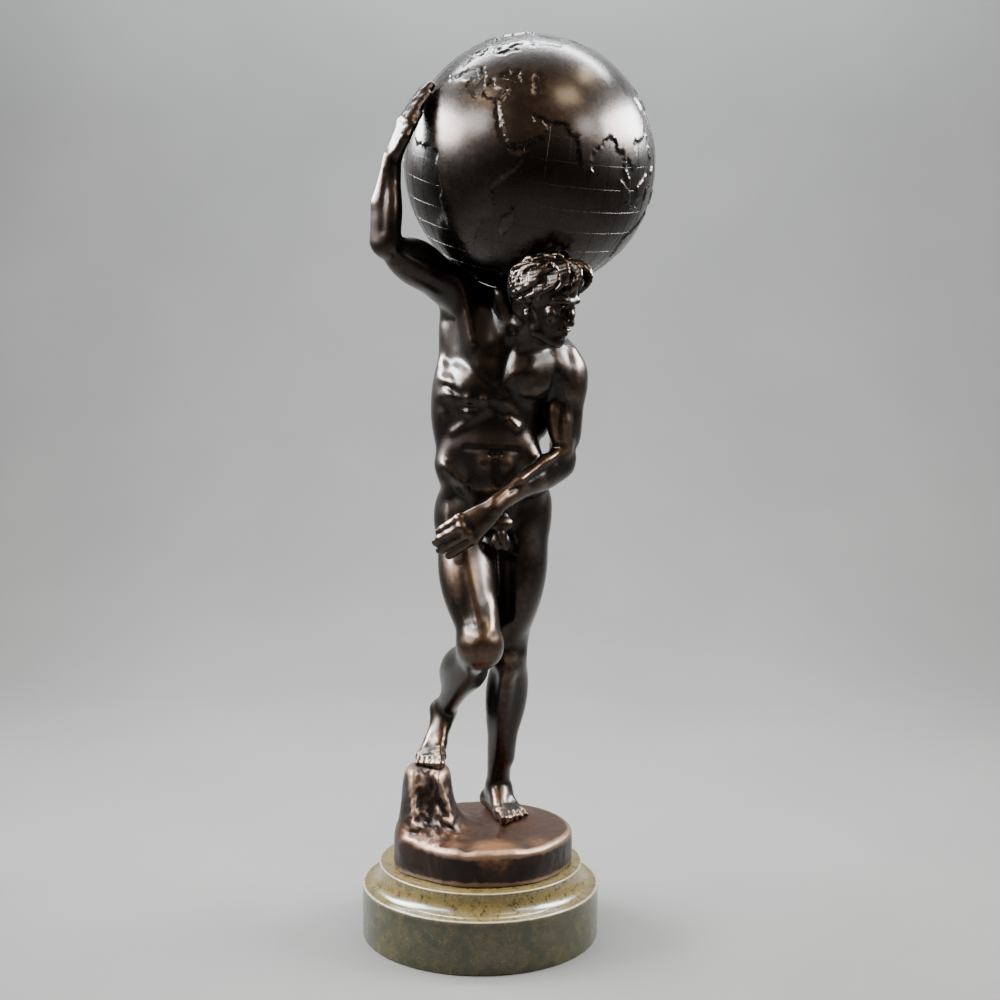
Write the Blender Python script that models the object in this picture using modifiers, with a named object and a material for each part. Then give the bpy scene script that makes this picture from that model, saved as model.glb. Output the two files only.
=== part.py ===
"""Statue of a standing nude man who carries an Earth globe on his nape.

Three pieces: the turned marble socle, the bronze man cast in one with his
rocky ground, and the bronze globe. Lengths are in metres, +Z is up, the
viewer looks along +Y, and the origin is the middle of the underside.
"""
import math

import bmesh
import bpy
import numpy as np
from mathutils import Matrix, Vector

# Socle, and the shares of its height and radius taken by the drum and the upper step
SOCLE_RADIUS = 0.110
SOCLE_HEIGHT = 0.0678
DRUM_SHARE = 0.712
STEP_SHARE = 0.857
EDGE_ROUND = 0.0016
LIP_WIDTH = 0.003
STEP_EDGE = 0.0032
SOCLE_STEPS = 48
DRUM_HEIGHT = SOCLE_HEIGHT * DRUM_SHARE
STEP_RADIUS = SOCLE_RADIUS * STEP_SHARE

# Ground under the man
GAP = 0.0003
GROUND_HEIGHT = 0.0332
GROUND_SHARE = 0.7364
GROUND_SHIFT = 3.5
GROUND_BASE = SOCLE_HEIGHT + GAP
GROUND_TOP = SOCLE_HEIGHT + GROUND_HEIGHT
GROUND_RADIUS = SOCLE_RADIUS * GROUND_SHARE
GROUND_RINGS = [(1.0, -0.36), (1.0, 0.48), (0.97, 0.75), (0.90, 0.93), (0.70, 1.0)]

# Height of the man from the sole of the standing foot to the top of the hair.
# Every place and radius in the tables below counts in parts of this height,
# with the zero on the axis of the socle at the top of the ground.
BODY_HEIGHT = 0.520
BODY_PARTS = 520
UNIT = BODY_HEIGHT / BODY_PARTS

# Globe on the nape
GLOBE_SHARE = 0.21635
GLOBE_RADIUS = BODY_HEIGHT * GLOBE_SHARE
GLOBE_PLACE = (39.6, 0, 607.2)
LAND_RISE = 0.0010
FACING_LONGITUDE_DEG = 52.9
TIP_DEG = 15.1
ROLL_DEG = 8.6
SHORE_SPACING_DEG = 4.2
SHORE_WIDTH_DEG = 0.45
CLOSEST_SHORE = 0.012
CLOSEST_FILLER = 0.055
OPEN_POINTS = 900

# How fine the figure is worked
VOXEL = UNIT * 1.9
EASING_PASSES = 12
FIGURE_SHARE = 0.0275

# Places of the joints and marks of the body
JOINTS = {
    "pelvis": (9, 12, 301), "waist": (5, 6, 347), "ribs": (5, 1, 389), "chest": (18, -3, 429),
    "nape": (43, -16, 465), "head": (56, -66, 485),
    "hip_l": (33, 13, 279), "knee_l": (27, 17, 157), "ankle_l": (16.5, 45, 20),
    "heel_l": (5, 53, 8), "ball_l": (19, 10, 6), "little_l": (37, 24, 4),
    "toe_l": (22, -5, 4), "last_toe_l": (43, 16, 3),
    "hip_r": (-18, 7, 283), "knee_r": (1, -50, 178), "ankle_r": (-38, 36, 99),
    "heel_r": (-40, 50, 86), "ball_r": (-40, -2, 61), "little_r": (-55, 4, 59),
    "toe_r": (-38, -18, 59), "last_toe_r": (-58, -9, 57),
    "shoulder_r": (-27, -7, 495), "elbow_r": (-84, -65, 530), "wrist_r": (-77, -66, 601),
    "knuckles_r": (-64, -69, 633), "tips_r": (-49, -54, 664),
    "shoulder_l": (76, -3, 421), "elbow_l": (71, 6, 339), "wrist_l": (12, -52, 302),
    "knuckles_l": (-15, -58, 283), "tips_l": (-37, -47, 266),
    "fold_r": (-28, -19, 505), "breast_r": (-4, -25, 444),
}

# Tapered limbs and cords: from, to, radius at each end
LIMBS = [
    ("hip_l", "knee_l", 28, 16), ("knee_l", "ankle_l", 15.5, 10),
    ("hip_r", "knee_r", 28, 17), ("knee_r", "ankle_r", 16, 10),
    ("ankle_l", "heel_l", 10, 9), ("ankle_l", "ball_l", 10, 6), ("heel_l", "ball_l", 8, 6.5),
    ("heel_l", "little_l", 8, 5), ("ball_l", "little_l", 6.5, 5),
    ("ankle_r", "heel_r", 10, 9), ("ankle_r", "ball_r", 10, 7), ("heel_r", "ball_r", 8, 7),
    ("heel_r", "little_r", 8, 5), ("ball_r", "little_r", 7, 5.5),
    ("shoulder_r", "elbow_r", 21, 13), ("elbow_r", "wrist_r", 11, 8.2),
    ("shoulder_l", "elbow_l", 18, 13), ("elbow_l", "wrist_l", 12.5, 8.5),
    ("chest", "nape", 30, 19), ("nape", "head", 19, 18), ("fold_r", "breast_r", 9, 12),
]

# Hands: side of the body, direction across the knuckles towards the thumb
HANDS = {"r": (0.45, -0.85, 0.10), "l": (-0.79, -0.15, 0.56)}
FINGER_RADIUS = 3.6
FINGER_SHARES = (0.86, 0.98, 1.0, 0.9)
THUMB_RADII = (5.2, 3.8)
PALM_WIDTH = 23
PALM_THICKNESS = 15
TOES = 5
TOE_RADII = (4.6, 2.9)

# Muscles and bony masses: middle, long axis, sideways axis, half sizes along
# (long, sideways, third)
MASSES = [
    # trunk
    ((6, 2, 391), (0.10, 0, 1), (1, 0, 0), (62, 50, 35)),
    ((24, -2, 431), (0.83, 0, -0.45), (0.45, 0, 0.83), (55, 36, 34)),
    ((5, 1, 339), (0, 0, 1), (1, 0, 0), (42, 44, 31)),
    ((8, 10, 297), (1, 0, 0), (0, 0, 1), (54, 34, 34)),
    ((31, 34, 275), (0.1, 0, 1), (1, 0, 0), (31, 25, 22)),
    ((-15, 31, 278), (-0.1, 0, 1), (1, 0, 0), (31, 25, 22)),
    # breast, its left half hanging and its right half drawn up to the arm
    ((48, -29, 420), (0.88, 0.1, 0.3), (-0.3, 0, 0.9), (28, 20, 14)),
    ((4, -22, 444), (-0.55, 0.1, 0.85), (0.85, 0, 0.55), (40, 26, 13)),
    # flank from armpit to hip
    ((-31, 6, 439), (-0.02, 0, 1), (0.3, -1, 0), (62, 18, 12)),
    ((-34, 4, 387), (0, 0, 1), (0, 1, 0), (46, 24, 14)),
    ((-31, 4, 317), (0.02, 0, 1), (0, 1, 0), (24, 24, 12)),
    ((43, 4, 317), (0, 0, 1), (0, 1, 0), (24, 24, 13)),
    ((42, 10, 295), (0.1, 0, 1), (1, 0, 0), (30, 17, 22)),
    # belly below its fold
    ((8, -18, 319), (0, 0.15, 1), (1, 0, 0), (30, 27, 14)),
    # shoulder caps and the ridge from shoulder to neck
    ((77, -4, 416), (0.12, 0, -1), (1, 0, 0), (30, 17, 21)),
    ((-32, -14, 497), (-0.6, -0.6, 0.3), (0, 0, 1), (30, 20, 22)),
    ((60, 1, 449), (0.75, 0, -0.55), (0.5, 0, 0.7), (34, 15, 19)),
    ((10, 8, 479), (0.85, 0, -0.4), (0.4, 0, 0.8), (40, 18, 24)),
    # upper arms
    ((74, -5, 381), (0, -0.05, -1), (0, 1, 0), (33, 17, 14.5)),
    ((-57, -37, 513), (-0.62, -0.65, 0.34), (0, 0, 1), (34, 19, 17)),
    # forearms
    ((60, -8, 329), (-0.6, -0.55, -0.3), (0, 0, 1), (30, 14.5, 12)),
    ((-86, -66, 549), (0.1, 0, 1), (1, 0, 0), (28, 13, 14)),
    # thighs
    ((37, 4, 239), (-0.1, 0.05, -1), (1, 0, 0), (48, 25, 26)),
    ((30, 6, 199), (-0.05, 0.1, -1), (1, 0, 0), (34, 21, 22)),
    ((-14, -20, 244), (0.12, -0.4, -0.9), (1, 0, 0), (50, 26, 26)),
    # knee caps
    ((27, 3, 158), (0, 0, 1), (1, 0, 0), (11, 10, 6)),
    ((4, -63, 176), (0, 0.3, 1), (1, 0, 0), (13, 12, 8)),
    # calves
    ((24, 34, 115), (-0.08, 0.2, -1), (1, 0, 0), (38, 20, 15)),
    ((-17, -2, 148), (-0.3, 0.75, -0.65), (0, 0.65, 0.75), (36, 17, 19)),
    # skull, hair and jaw
    ((55, -62, 491), (0.3, -0.55, -0.2), (0.85, 0.4, 0.1), (36, 32, 31)),
    ((42, -60, 477), (0.1, -0.2, -1), (1, 0, 0), (24, 17, 24)),
    ((68, -74, 469), (0.45, -0.4, -0.8), (0.85, 0.4, 0.1), (24, 19, 20)),
    # sex
    ((15, -27, 271), (0, 0, 1), (1, 0, 0), (11, 9, 9)),
]

# Stub of rock under the raised foot: middle, turn about Z, half sizes
ROCKS = [
    ((-53, -4, 15), 8, (19, 34, 42)), ((-56, -18, -1), 24, (19, 28, 32)),
    ((-42, 5, 9), -12, (18, 28, 40)), ((-36, -31, -9), 38, (19, 33, 19)),
    ((-24, 12, -11), 15, (18, 26, 20)),
]

# Coastlines as (longitude, latitude), thinned to what reads from a step away
LANDS = {
    "africa_asia_europe": [
        (-9, 43), (-9, 37), (-6, 36), (-10, 31), (-17, 21), (-17, 14), (-13, 9), (-8, 4.5), (2, 6),
        (8, 4.5), (9, 1), (9, -2), (13, -8), (12, -17), (15, -27), (18, -34), (25, -34), (32, -28),
        (35, -23), (35, -20), (40, -15), (39, -6), (43, 0), (51, 11), (43, 11.5), (37, 20),
        (33, 29), (39, 21), (45, 13), (55, 18), (59, 23), (56, 26), (51, 24), (48, 30),
        (57, 27), (66, 25), (72, 21), (73, 16), (77.5, 8), (80, 14), (87, 21), (91, 22.5),
        (95, 16), (98, 13), (100, 5), (104, 1.5), (100, 13), (105, 9), (109, 12), (106, 20),
        (111, 21), (118, 24), (122, 31), (119, 38), (126, 38), (129, 35), (128, 40), (135, 44),
        (141, 53), (155, 59), (157, 52), (163, 57), (179, 63), (179, 69), (150, 72), (113, 74),
        (80, 73), (68, 69), (44, 67), (30, 70), (18, 69), (11, 64), (5, 61), (8, 58), (18, 60),
        (21, 57), (10, 54), (4, 52), (-2, 48), (-1, 44),
    ],
    "north_america": [
        (-166, 66), (-156, 71), (-125, 70), (-95, 72), (-82, 68), (-94, 59), (-80, 52), (-78, 61),
        (-65, 59), (-56, 52), (-66, 46), (-71, 42), (-76, 36), (-81, 31), (-80, 25), (-84, 30),
        (-97, 27), (-96, 19), (-88, 21), (-88, 16), (-83, 10), (-78, 8), (-86, 11), (-105, 20),
        (-115, 30), (-124, 40), (-125, 49), (-140, 60), (-155, 58), (-165, 60),
    ],
    "south_america": [
        (-78, 8), (-72, 12), (-62, 10), (-50, 1), (-35, -6), (-39, -16), (-48, -27), (-58, -36),
        (-65, -43), (-69, -54), (-75, -50), (-72, -35), (-70, -18), (-81, -5), (-78, 2),
    ],
    "australia": [
        (114, -23), (115, -34), (124, -33), (132, -32), (138, -35), (146, -39), (153, -30),
        (146, -19), (142, -11), (139, -17), (131, -12), (122, -18),
    ],
    "greenland": [(-45, 60), (-54, 70), (-68, 78), (-35, 83), (-20, 76), (-25, 69)],
    "madagascar": [(44, -25), (44, -17), (49, -12), (50, -16), (47, -25)],
    "borneo": [(109, 1), (117, 7), (119, 1), (115, -4), (110, -3)],
    "sumatra": [(95, 5.5), (100, -1), (105, -6), (106, -3), (98, 4)],
    "new_guinea": [(131, -1), (141, -3), (150, -10), (138, -8)],
    "japan": [(130, 31), (136, 34), (141, 36), (145, 44), (140, 41), (132, 35)],
    "britain": [(-5, 50), (1, 51), (0, 54), (-4, 58.5), (-5, 54)],
    "ceylon": [(80, 9), (82, 7), (80, 6)],
}

# Inland seas cut back out of the land
SEAS = {
    "mediterranean": [
        (-5, 36), (10, 37.5), (11, 33), (20, 31), (33, 31), (36, 36), (28, 36.5), (26, 40),
        (22, 38), (19, 41), (13, 45), (16, 38), (9, 44), (3, 43), (-1, 38),
    ],
    "black_sea": [(28, 42), (33, 46), (38, 46), (41, 42), (34, 41.5)],
    "caspian": [(47, 43), (51, 47), (53, 41), (54, 37), (49, 38)],
    "red_sea": [(33, 29), (36, 27), (39, 21), (43, 13), (39, 16), (36, 22)],
    "baltic": [(11, 55), (19, 59.5), (29, 60.5), (22, 58), (20, 55)],
}


def vec(point):
    """Place of a table entry in metres."""
    return Vector(point) * UNIT + Vector((0.0, 0.0, GROUND_TOP))


def frame_of(long_axis, side_axis):
    """Rotation whose Z runs along long_axis and X close to side_axis."""
    z = Vector(long_axis).normalized()
    x = Vector(side_axis)
    x = (x - z * x.dot(z)).normalized()
    y = z.cross(x)
    return Matrix((x, y, z)).transposed().to_4x4()


def add_ball(bm, centre, radius, turn=None, sizes=None):
    """Sphere, or an ellipsoid when turn and sizes are given."""
    if turn is None:
        matrix = Matrix.Translation(centre) @ Matrix.Diagonal((radius, radius, radius, 1.0))
    else:
        matrix = Matrix.Translation(centre) @ turn @ Matrix.Diagonal((*sizes, 1.0))
    bmesh.ops.create_icosphere(bm, subdivisions=3, radius=1.0, matrix=matrix)


def add_limb(bm, start, end, start_radius, end_radius):
    """Tapered rod with rounded ends."""
    axis = end - start
    side = Vector((1, 0, 0)) if abs(axis.normalized().x) < 0.8 else Vector((0, 1, 0))
    matrix = Matrix.Translation((start + end) / 2) @ frame_of(axis, side)
    bmesh.ops.create_cone(
        bm, cap_ends=True, segments=28, radius1=start_radius, radius2=end_radius,
        depth=axis.length, matrix=matrix,
    )
    add_ball(bm, start, start_radius)
    add_ball(bm, end, end_radius)


def add_hand(bm, joints, side):
    """Palm, four fingers side by side and a thumb."""
    wrist = joints[f"wrist_{side}"]
    knuckles = joints[f"knuckles_{side}"]
    tips = joints[f"tips_{side}"]
    across = Vector(HANDS[side]).normalized()
    palm = (wrist + knuckles) / 2
    turn = frame_of(knuckles - wrist, across)
    long_half = (knuckles - wrist).length * 0.72
    add_ball(bm, palm, 0, turn, (PALM_WIDTH / 2 * UNIT, PALM_THICKNESS / 2 * UNIT, long_half))
    thick = FINGER_RADIUS * UNIT
    for finger, share in enumerate(FINGER_SHARES):
        start = knuckles + across * (finger - 1.5) * PALM_WIDTH * 0.24 * UNIT
        add_limb(bm, start, start + (tips - knuckles) * share, thick * 1.15, thick * 0.9)
    root = wrist.lerp(knuckles, 0.3) + across * PALM_WIDTH * 0.38 * UNIT
    tip = wrist.lerp(knuckles, 1.15) + across * PALM_WIDTH * 0.66 * UNIT
    add_limb(bm, root, tip, THUMB_RADII[0] * UNIT, THUMB_RADII[1] * UNIT)


def add_toes(bm, joints, side):
    """Row of toes from the great toe to the last."""
    for toe in range(TOES):
        share = toe / (TOES - 1)
        start = joints[f"ball_{side}"].lerp(joints[f"little_{side}"], share)
        end = joints[f"toe_{side}"].lerp(joints[f"last_toe_{side}"], share)
        radius = (TOE_RADII[0] * (1 - share) + TOE_RADII[1] * share) * UNIT
        add_limb(bm, start, end, radius * 1.1, radius)


def add_rock(bm, centre, turn, sizes):
    """Rough block: an icosphere squared off and pushed about by a set rule."""
    matrix = Matrix.Translation(centre) @ Matrix.Rotation(math.radians(turn), 4, "Z")
    made = bmesh.ops.create_icosphere(bm, subdivisions=2, radius=1.0)
    for vert in made["verts"]:
        x, y, z = vert.co
        rough = 1.0 + 0.10 * math.sin(5.1 * x + 3.7 * y + turn) * math.cos(4.3 * z + turn)
        square = max(abs(x), abs(y), abs(z)) ** 0.45
        vert.co = matrix @ Vector(
            (x * sizes[0] * rough / square, y * sizes[1] * rough / square, z * sizes[2] / square)
        )


def add_ground(bm):
    """Low dome of earth with an uneven wall, running down into the socle."""
    count = 48
    loops = []
    for share, rise in GROUND_RINGS:
        loop = []
        for index in range(count):
            angle = math.tau * index / count
            sway = 1.0 + 0.012 * math.sin(3 * angle + 0.6) + 0.009 * math.sin(7 * angle + 2.0)
            radius = GROUND_RADIUS * share * sway
            x = radius * math.cos(angle) + GROUND_SHIFT * UNIT
            z = SOCLE_HEIGHT + GROUND_HEIGHT * rise
            loop.append(bm.verts.new((x, radius * math.sin(angle), z)))
        loops.append(loop)
    for lower, upper in zip(loops, loops[1:]):
        for index in range(count):
            after = (index + 1) % count
            bm.faces.new((lower[index], lower[after], upper[after], upper[index]))
    bm.faces.new(list(reversed(loops[0])))
    bm.faces.new(loops[-1])


def material(name, colour, roughness, metallic):
    """Plain shader with the three values a part needs."""
    made = bpy.data.materials.new(name)
    made.use_nodes = True
    shader = made.node_tree.nodes["Principled BSDF"]
    shader.inputs["Base Color"].default_value = (*colour, 1.0)
    shader.inputs["Roughness"].default_value = roughness
    shader.inputs["Metallic"].default_value = metallic
    return made


def keep(name, mesh, look):
    """Object in a collection of its own name."""
    home = bpy.data.collections.new(name)
    bpy.context.scene.collection.children.link(home)
    obj = bpy.data.objects.new(name, mesh)
    if look is not None:
        mesh.materials.append(look)
    home.objects.link(obj)
    return obj


def cutter(name, bm, home):
    """Hidden tool body used by a Boolean."""
    bm.normal_update()
    mesh = bpy.data.meshes.new(name)
    bm.to_mesh(mesh)
    bm.free()
    obj = bpy.data.objects.new(name, mesh)
    home.objects.link(obj)
    obj.hide_render = True
    obj.display_type = "WIRE"
    return obj


def boolean(obj, tool, operation):
    """Exact Boolean kept live on the object."""
    step = obj.modifiers.new(f"{operation.lower()} {tool.name}", "BOOLEAN")
    step.operation = operation
    step.solver = "EXACT"
    step.object = tool


def build_socle(look):
    """Turned profile: drum, narrow lip, hollow moulding, upper step."""
    hollow_out = SOCLE_RADIUS - EDGE_ROUND - LIP_WIDTH
    hollow_top = SOCLE_HEIGHT - STEP_EDGE
    hollow = []
    for angle in range(0, 91, 18):
        across = math.sin(math.radians(angle)) * (hollow_out - STEP_RADIUS)
        down = math.cos(math.radians(angle)) * (hollow_top - DRUM_HEIGHT)
        hollow.append((hollow_out - across, hollow_top - down))
    outer = [
        (SOCLE_RADIUS - EDGE_ROUND, 0.0), (SOCLE_RADIUS, EDGE_ROUND),
        (SOCLE_RADIUS, DRUM_HEIGHT - EDGE_ROUND / 2), (SOCLE_RADIUS - EDGE_ROUND / 2, DRUM_HEIGHT),
        *hollow,
        (STEP_RADIUS, SOCLE_HEIGHT - EDGE_ROUND / 2), (STEP_RADIUS - EDGE_ROUND / 2, SOCLE_HEIGHT),
    ]
    profile = [(0.0, SOCLE_HEIGHT)] + list(reversed(outer)) + [(0.0, 0.0)]
    mesh = bpy.data.meshes.new("socle")
    mesh.from_pydata(
        [(radius, 0.0, height) for radius, height in profile],
        [(index, index + 1) for index in range(len(profile) - 1)], [],
    )
    obj = keep("socle", mesh, look)
    turn = obj.modifiers.new("turned", "SCREW")
    turn.axis = "Z"
    turn.angle = math.tau
    turn.steps = SOCLE_STEPS
    turn.render_steps = SOCLE_STEPS
    turn.use_merge_vertices = True
    turn.merge_threshold = 0.00001
    return obj


def build_figure(look, tools):
    """Man and ground as one casting, seated on the socle, hollowed for the globe."""
    joints = {name: vec(place) for name, place in JOINTS.items()}
    bm = bmesh.new()
    for start, end, start_radius, end_radius in LIMBS:
        add_limb(bm, joints[start], joints[end], start_radius * UNIT, end_radius * UNIT)
    for centre, long_axis, side_axis, sizes in MASSES:
        half = (sizes[1] * UNIT, sizes[2] * UNIT, sizes[0] * UNIT)
        add_ball(bm, vec(centre), 0, frame_of(long_axis, side_axis), half)
    for side in HANDS:
        add_hand(bm, joints, side)
        add_toes(bm, joints, side)
    for centre, turn, sizes in ROCKS:
        add_rock(bm, vec(centre), turn, [size * UNIT for size in sizes])
    add_ground(bm)
    bm.normal_update()
    mesh = bpy.data.meshes.new("figure")
    bm.to_mesh(mesh)
    bm.free()
    obj = keep("figure", mesh, look)
    fuse = obj.modifiers.new("fuse", "REMESH")
    fuse.mode = "VOXEL"
    fuse.voxel_size = VOXEL
    ease = obj.modifiers.new("ease", "SMOOTH")
    ease.factor = 0.5
    ease.iterations = int(EASING_PASSES)
    thin = obj.modifiers.new("thin", "DECIMATE")
    thin.ratio = FIGURE_SHARE
    thin.use_collapse_triangulate = True

    below = bmesh.new()
    bmesh.ops.create_cube(below, size=1.0, matrix=Matrix.Translation((0, 0, GROUND_BASE - 0.5)))
    boolean(obj, cutter("seat", below, tools), "DIFFERENCE")
    bowl = bmesh.new()
    matrix = Matrix.Translation(vec(GLOBE_PLACE))
    radius = GLOBE_RADIUS + LAND_RISE + GAP
    bmesh.ops.create_icosphere(bowl, subdivisions=4, radius=radius * 1.0015, matrix=matrix)
    boolean(obj, cutter("bowl", bowl, tools), "DIFFERENCE")
    return obj


def globe_turn():
    """Turns the map so that the chosen longitude faces the viewer."""
    face = Matrix.Rotation(-math.pi / 2 - math.radians(FACING_LONGITUDE_DEG), 4, "Z")
    tip = Matrix.Rotation(math.radians(TIP_DEG), 4, "X")
    roll = Matrix.Rotation(math.radians(ROLL_DEG), 4, "Y")
    return Matrix.Translation(vec(GLOBE_PLACE)) @ roll @ tip @ face


def place_of(lon, lat):
    """Unit direction of a place given in degrees."""
    lon = math.radians(lon)
    lat = math.radians(lat)
    return Vector((math.cos(lat) * math.cos(lon), math.cos(lat) * math.sin(lon), math.sin(lat)))


def shore_points(coast):
    """Pairs of directions just outside and just inside a closed coast."""
    points = []
    corners = [place_of(lon, lat) for lon, lat in coast]
    for start, end in zip(corners, corners[1:] + corners[:1]):
        pieces = max(1, round(start.angle(end) / math.radians(SHORE_SPACING_DEG)))
        across = start.cross(end).normalized() * math.radians(SHORE_WIDTH_DEG)
        for piece in range(pieces):
            middle = start.lerp(end, (piece + 0.5) / pieces).normalized()
            points += [(middle + across).normalized(), (middle - across).normalized()]
    return points


def even_points(count):
    """Directions spread evenly over a sphere on a spiral."""
    points = []
    for index in range(count):
        z = 1.0 - (2.0 * index + 1.0) / count
        around = index * math.pi * (3.0 - math.sqrt(5.0))
        ring = math.sqrt(1.0 - z * z)
        points.append(Vector((ring * math.cos(around), ring * math.sin(around), z)))
    return points


def inside(lon, lat, coast):
    """Even-odd test of a place against a coast in longitude and latitude."""
    odd = False
    for (lon_a, lat_a), (lon_b, lat_b) in zip(coast, coast[1:] + coast[:1]):
        if (lat_a > lat) != (lat_b > lat):
            if lon < (lon_b - lon_a) * (lat - lat_a) / (lat_b - lat_a) + lon_a:
                odd = not odd
    return odd


def is_land(lon, lat):
    """True where the map shows dry land."""
    if lat < -70:
        return True
    if any(inside(lon, lat, coast) for coast in SEAS.values()):
        return False
    return any(inside(lon, lat, coast) for coast in LANDS.values())


def build_globe(look):
    """Sphere whose dry land stands proud of the seas."""
    shores = []
    for coast in list(LANDS.values()) + list(SEAS.values()):
        shores += shore_points(coast)
    kept = []
    for point in shores:
        if all((point - other).length > CLOSEST_SHORE for other in kept):
            kept.append(point)
    for point in even_points(OPEN_POINTS):
        if all((point - other).length > CLOSEST_FILLER for other in kept):
            kept.append(point)
    bm = bmesh.new()
    verts = [bm.verts.new(point) for point in kept]
    bmesh.ops.convex_hull(bm, input=verts)
    for vert in bm.verts:
        lon = math.degrees(math.atan2(vert.co.y, vert.co.x))
        lat = math.degrees(math.asin(max(-1.0, min(1.0, vert.co.z))))
        vert.co *= GLOBE_RADIUS + (LAND_RISE if is_land(lon, lat) else 0.0)
    bm.transform(globe_turn())
    bmesh.ops.recalc_face_normals(bm, faces=bm.faces)
    mesh = bpy.data.meshes.new("globe")
    bm.to_mesh(mesh)
    bm.free()
    return keep("globe", mesh, look)


def main():
    for obj in list(bpy.data.objects):
        bpy.data.objects.remove(obj)
    bronze = material("dark_bronze", (0.055, 0.034, 0.022), 0.30, 1.0)
    globe_bronze = material("globe_bronze", (0.045, 0.036, 0.028), 0.25, 1.0)
    marble = material("green_marble", (0.11, 0.10, 0.055), 0.20, 0.0)
    tools = bpy.data.collections.new("tools")
    bpy.context.scene.collection.children.link(tools)
    build_socle(marble)
    build_figure(bronze, tools)
    build_globe(globe_bronze)


main()
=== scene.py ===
import math

import bmesh
import bpy
import numpy as np
from mathutils import Matrix, Vector


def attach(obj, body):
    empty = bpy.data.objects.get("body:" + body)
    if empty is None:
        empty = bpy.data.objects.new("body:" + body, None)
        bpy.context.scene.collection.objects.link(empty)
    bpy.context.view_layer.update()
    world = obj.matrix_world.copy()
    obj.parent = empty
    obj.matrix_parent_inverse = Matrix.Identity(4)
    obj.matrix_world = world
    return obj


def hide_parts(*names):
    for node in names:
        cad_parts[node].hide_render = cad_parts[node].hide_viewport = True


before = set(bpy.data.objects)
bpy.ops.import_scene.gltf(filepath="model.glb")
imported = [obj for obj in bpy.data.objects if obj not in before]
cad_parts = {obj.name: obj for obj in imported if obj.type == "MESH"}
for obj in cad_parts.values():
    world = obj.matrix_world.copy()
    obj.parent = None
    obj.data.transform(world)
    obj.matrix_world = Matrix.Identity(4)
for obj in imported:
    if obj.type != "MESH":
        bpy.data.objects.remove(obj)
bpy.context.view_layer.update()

mm = 0.001

# Clay: forms are modelled as a block of distance samples. Rods and lumps are pressed
# on with a soft join or cut out, then a skin is drawn over the zero level.
# Here are the distance that empty space starts from, how many widths away a stroke
# ends, the share of a join's reach over which it fades, and how soft it is beyond that.
clayRules = {"empty": 0.03, "strokeEnd": 2.3, "joinFade": 0.4, "crease": 0.6}


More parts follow.
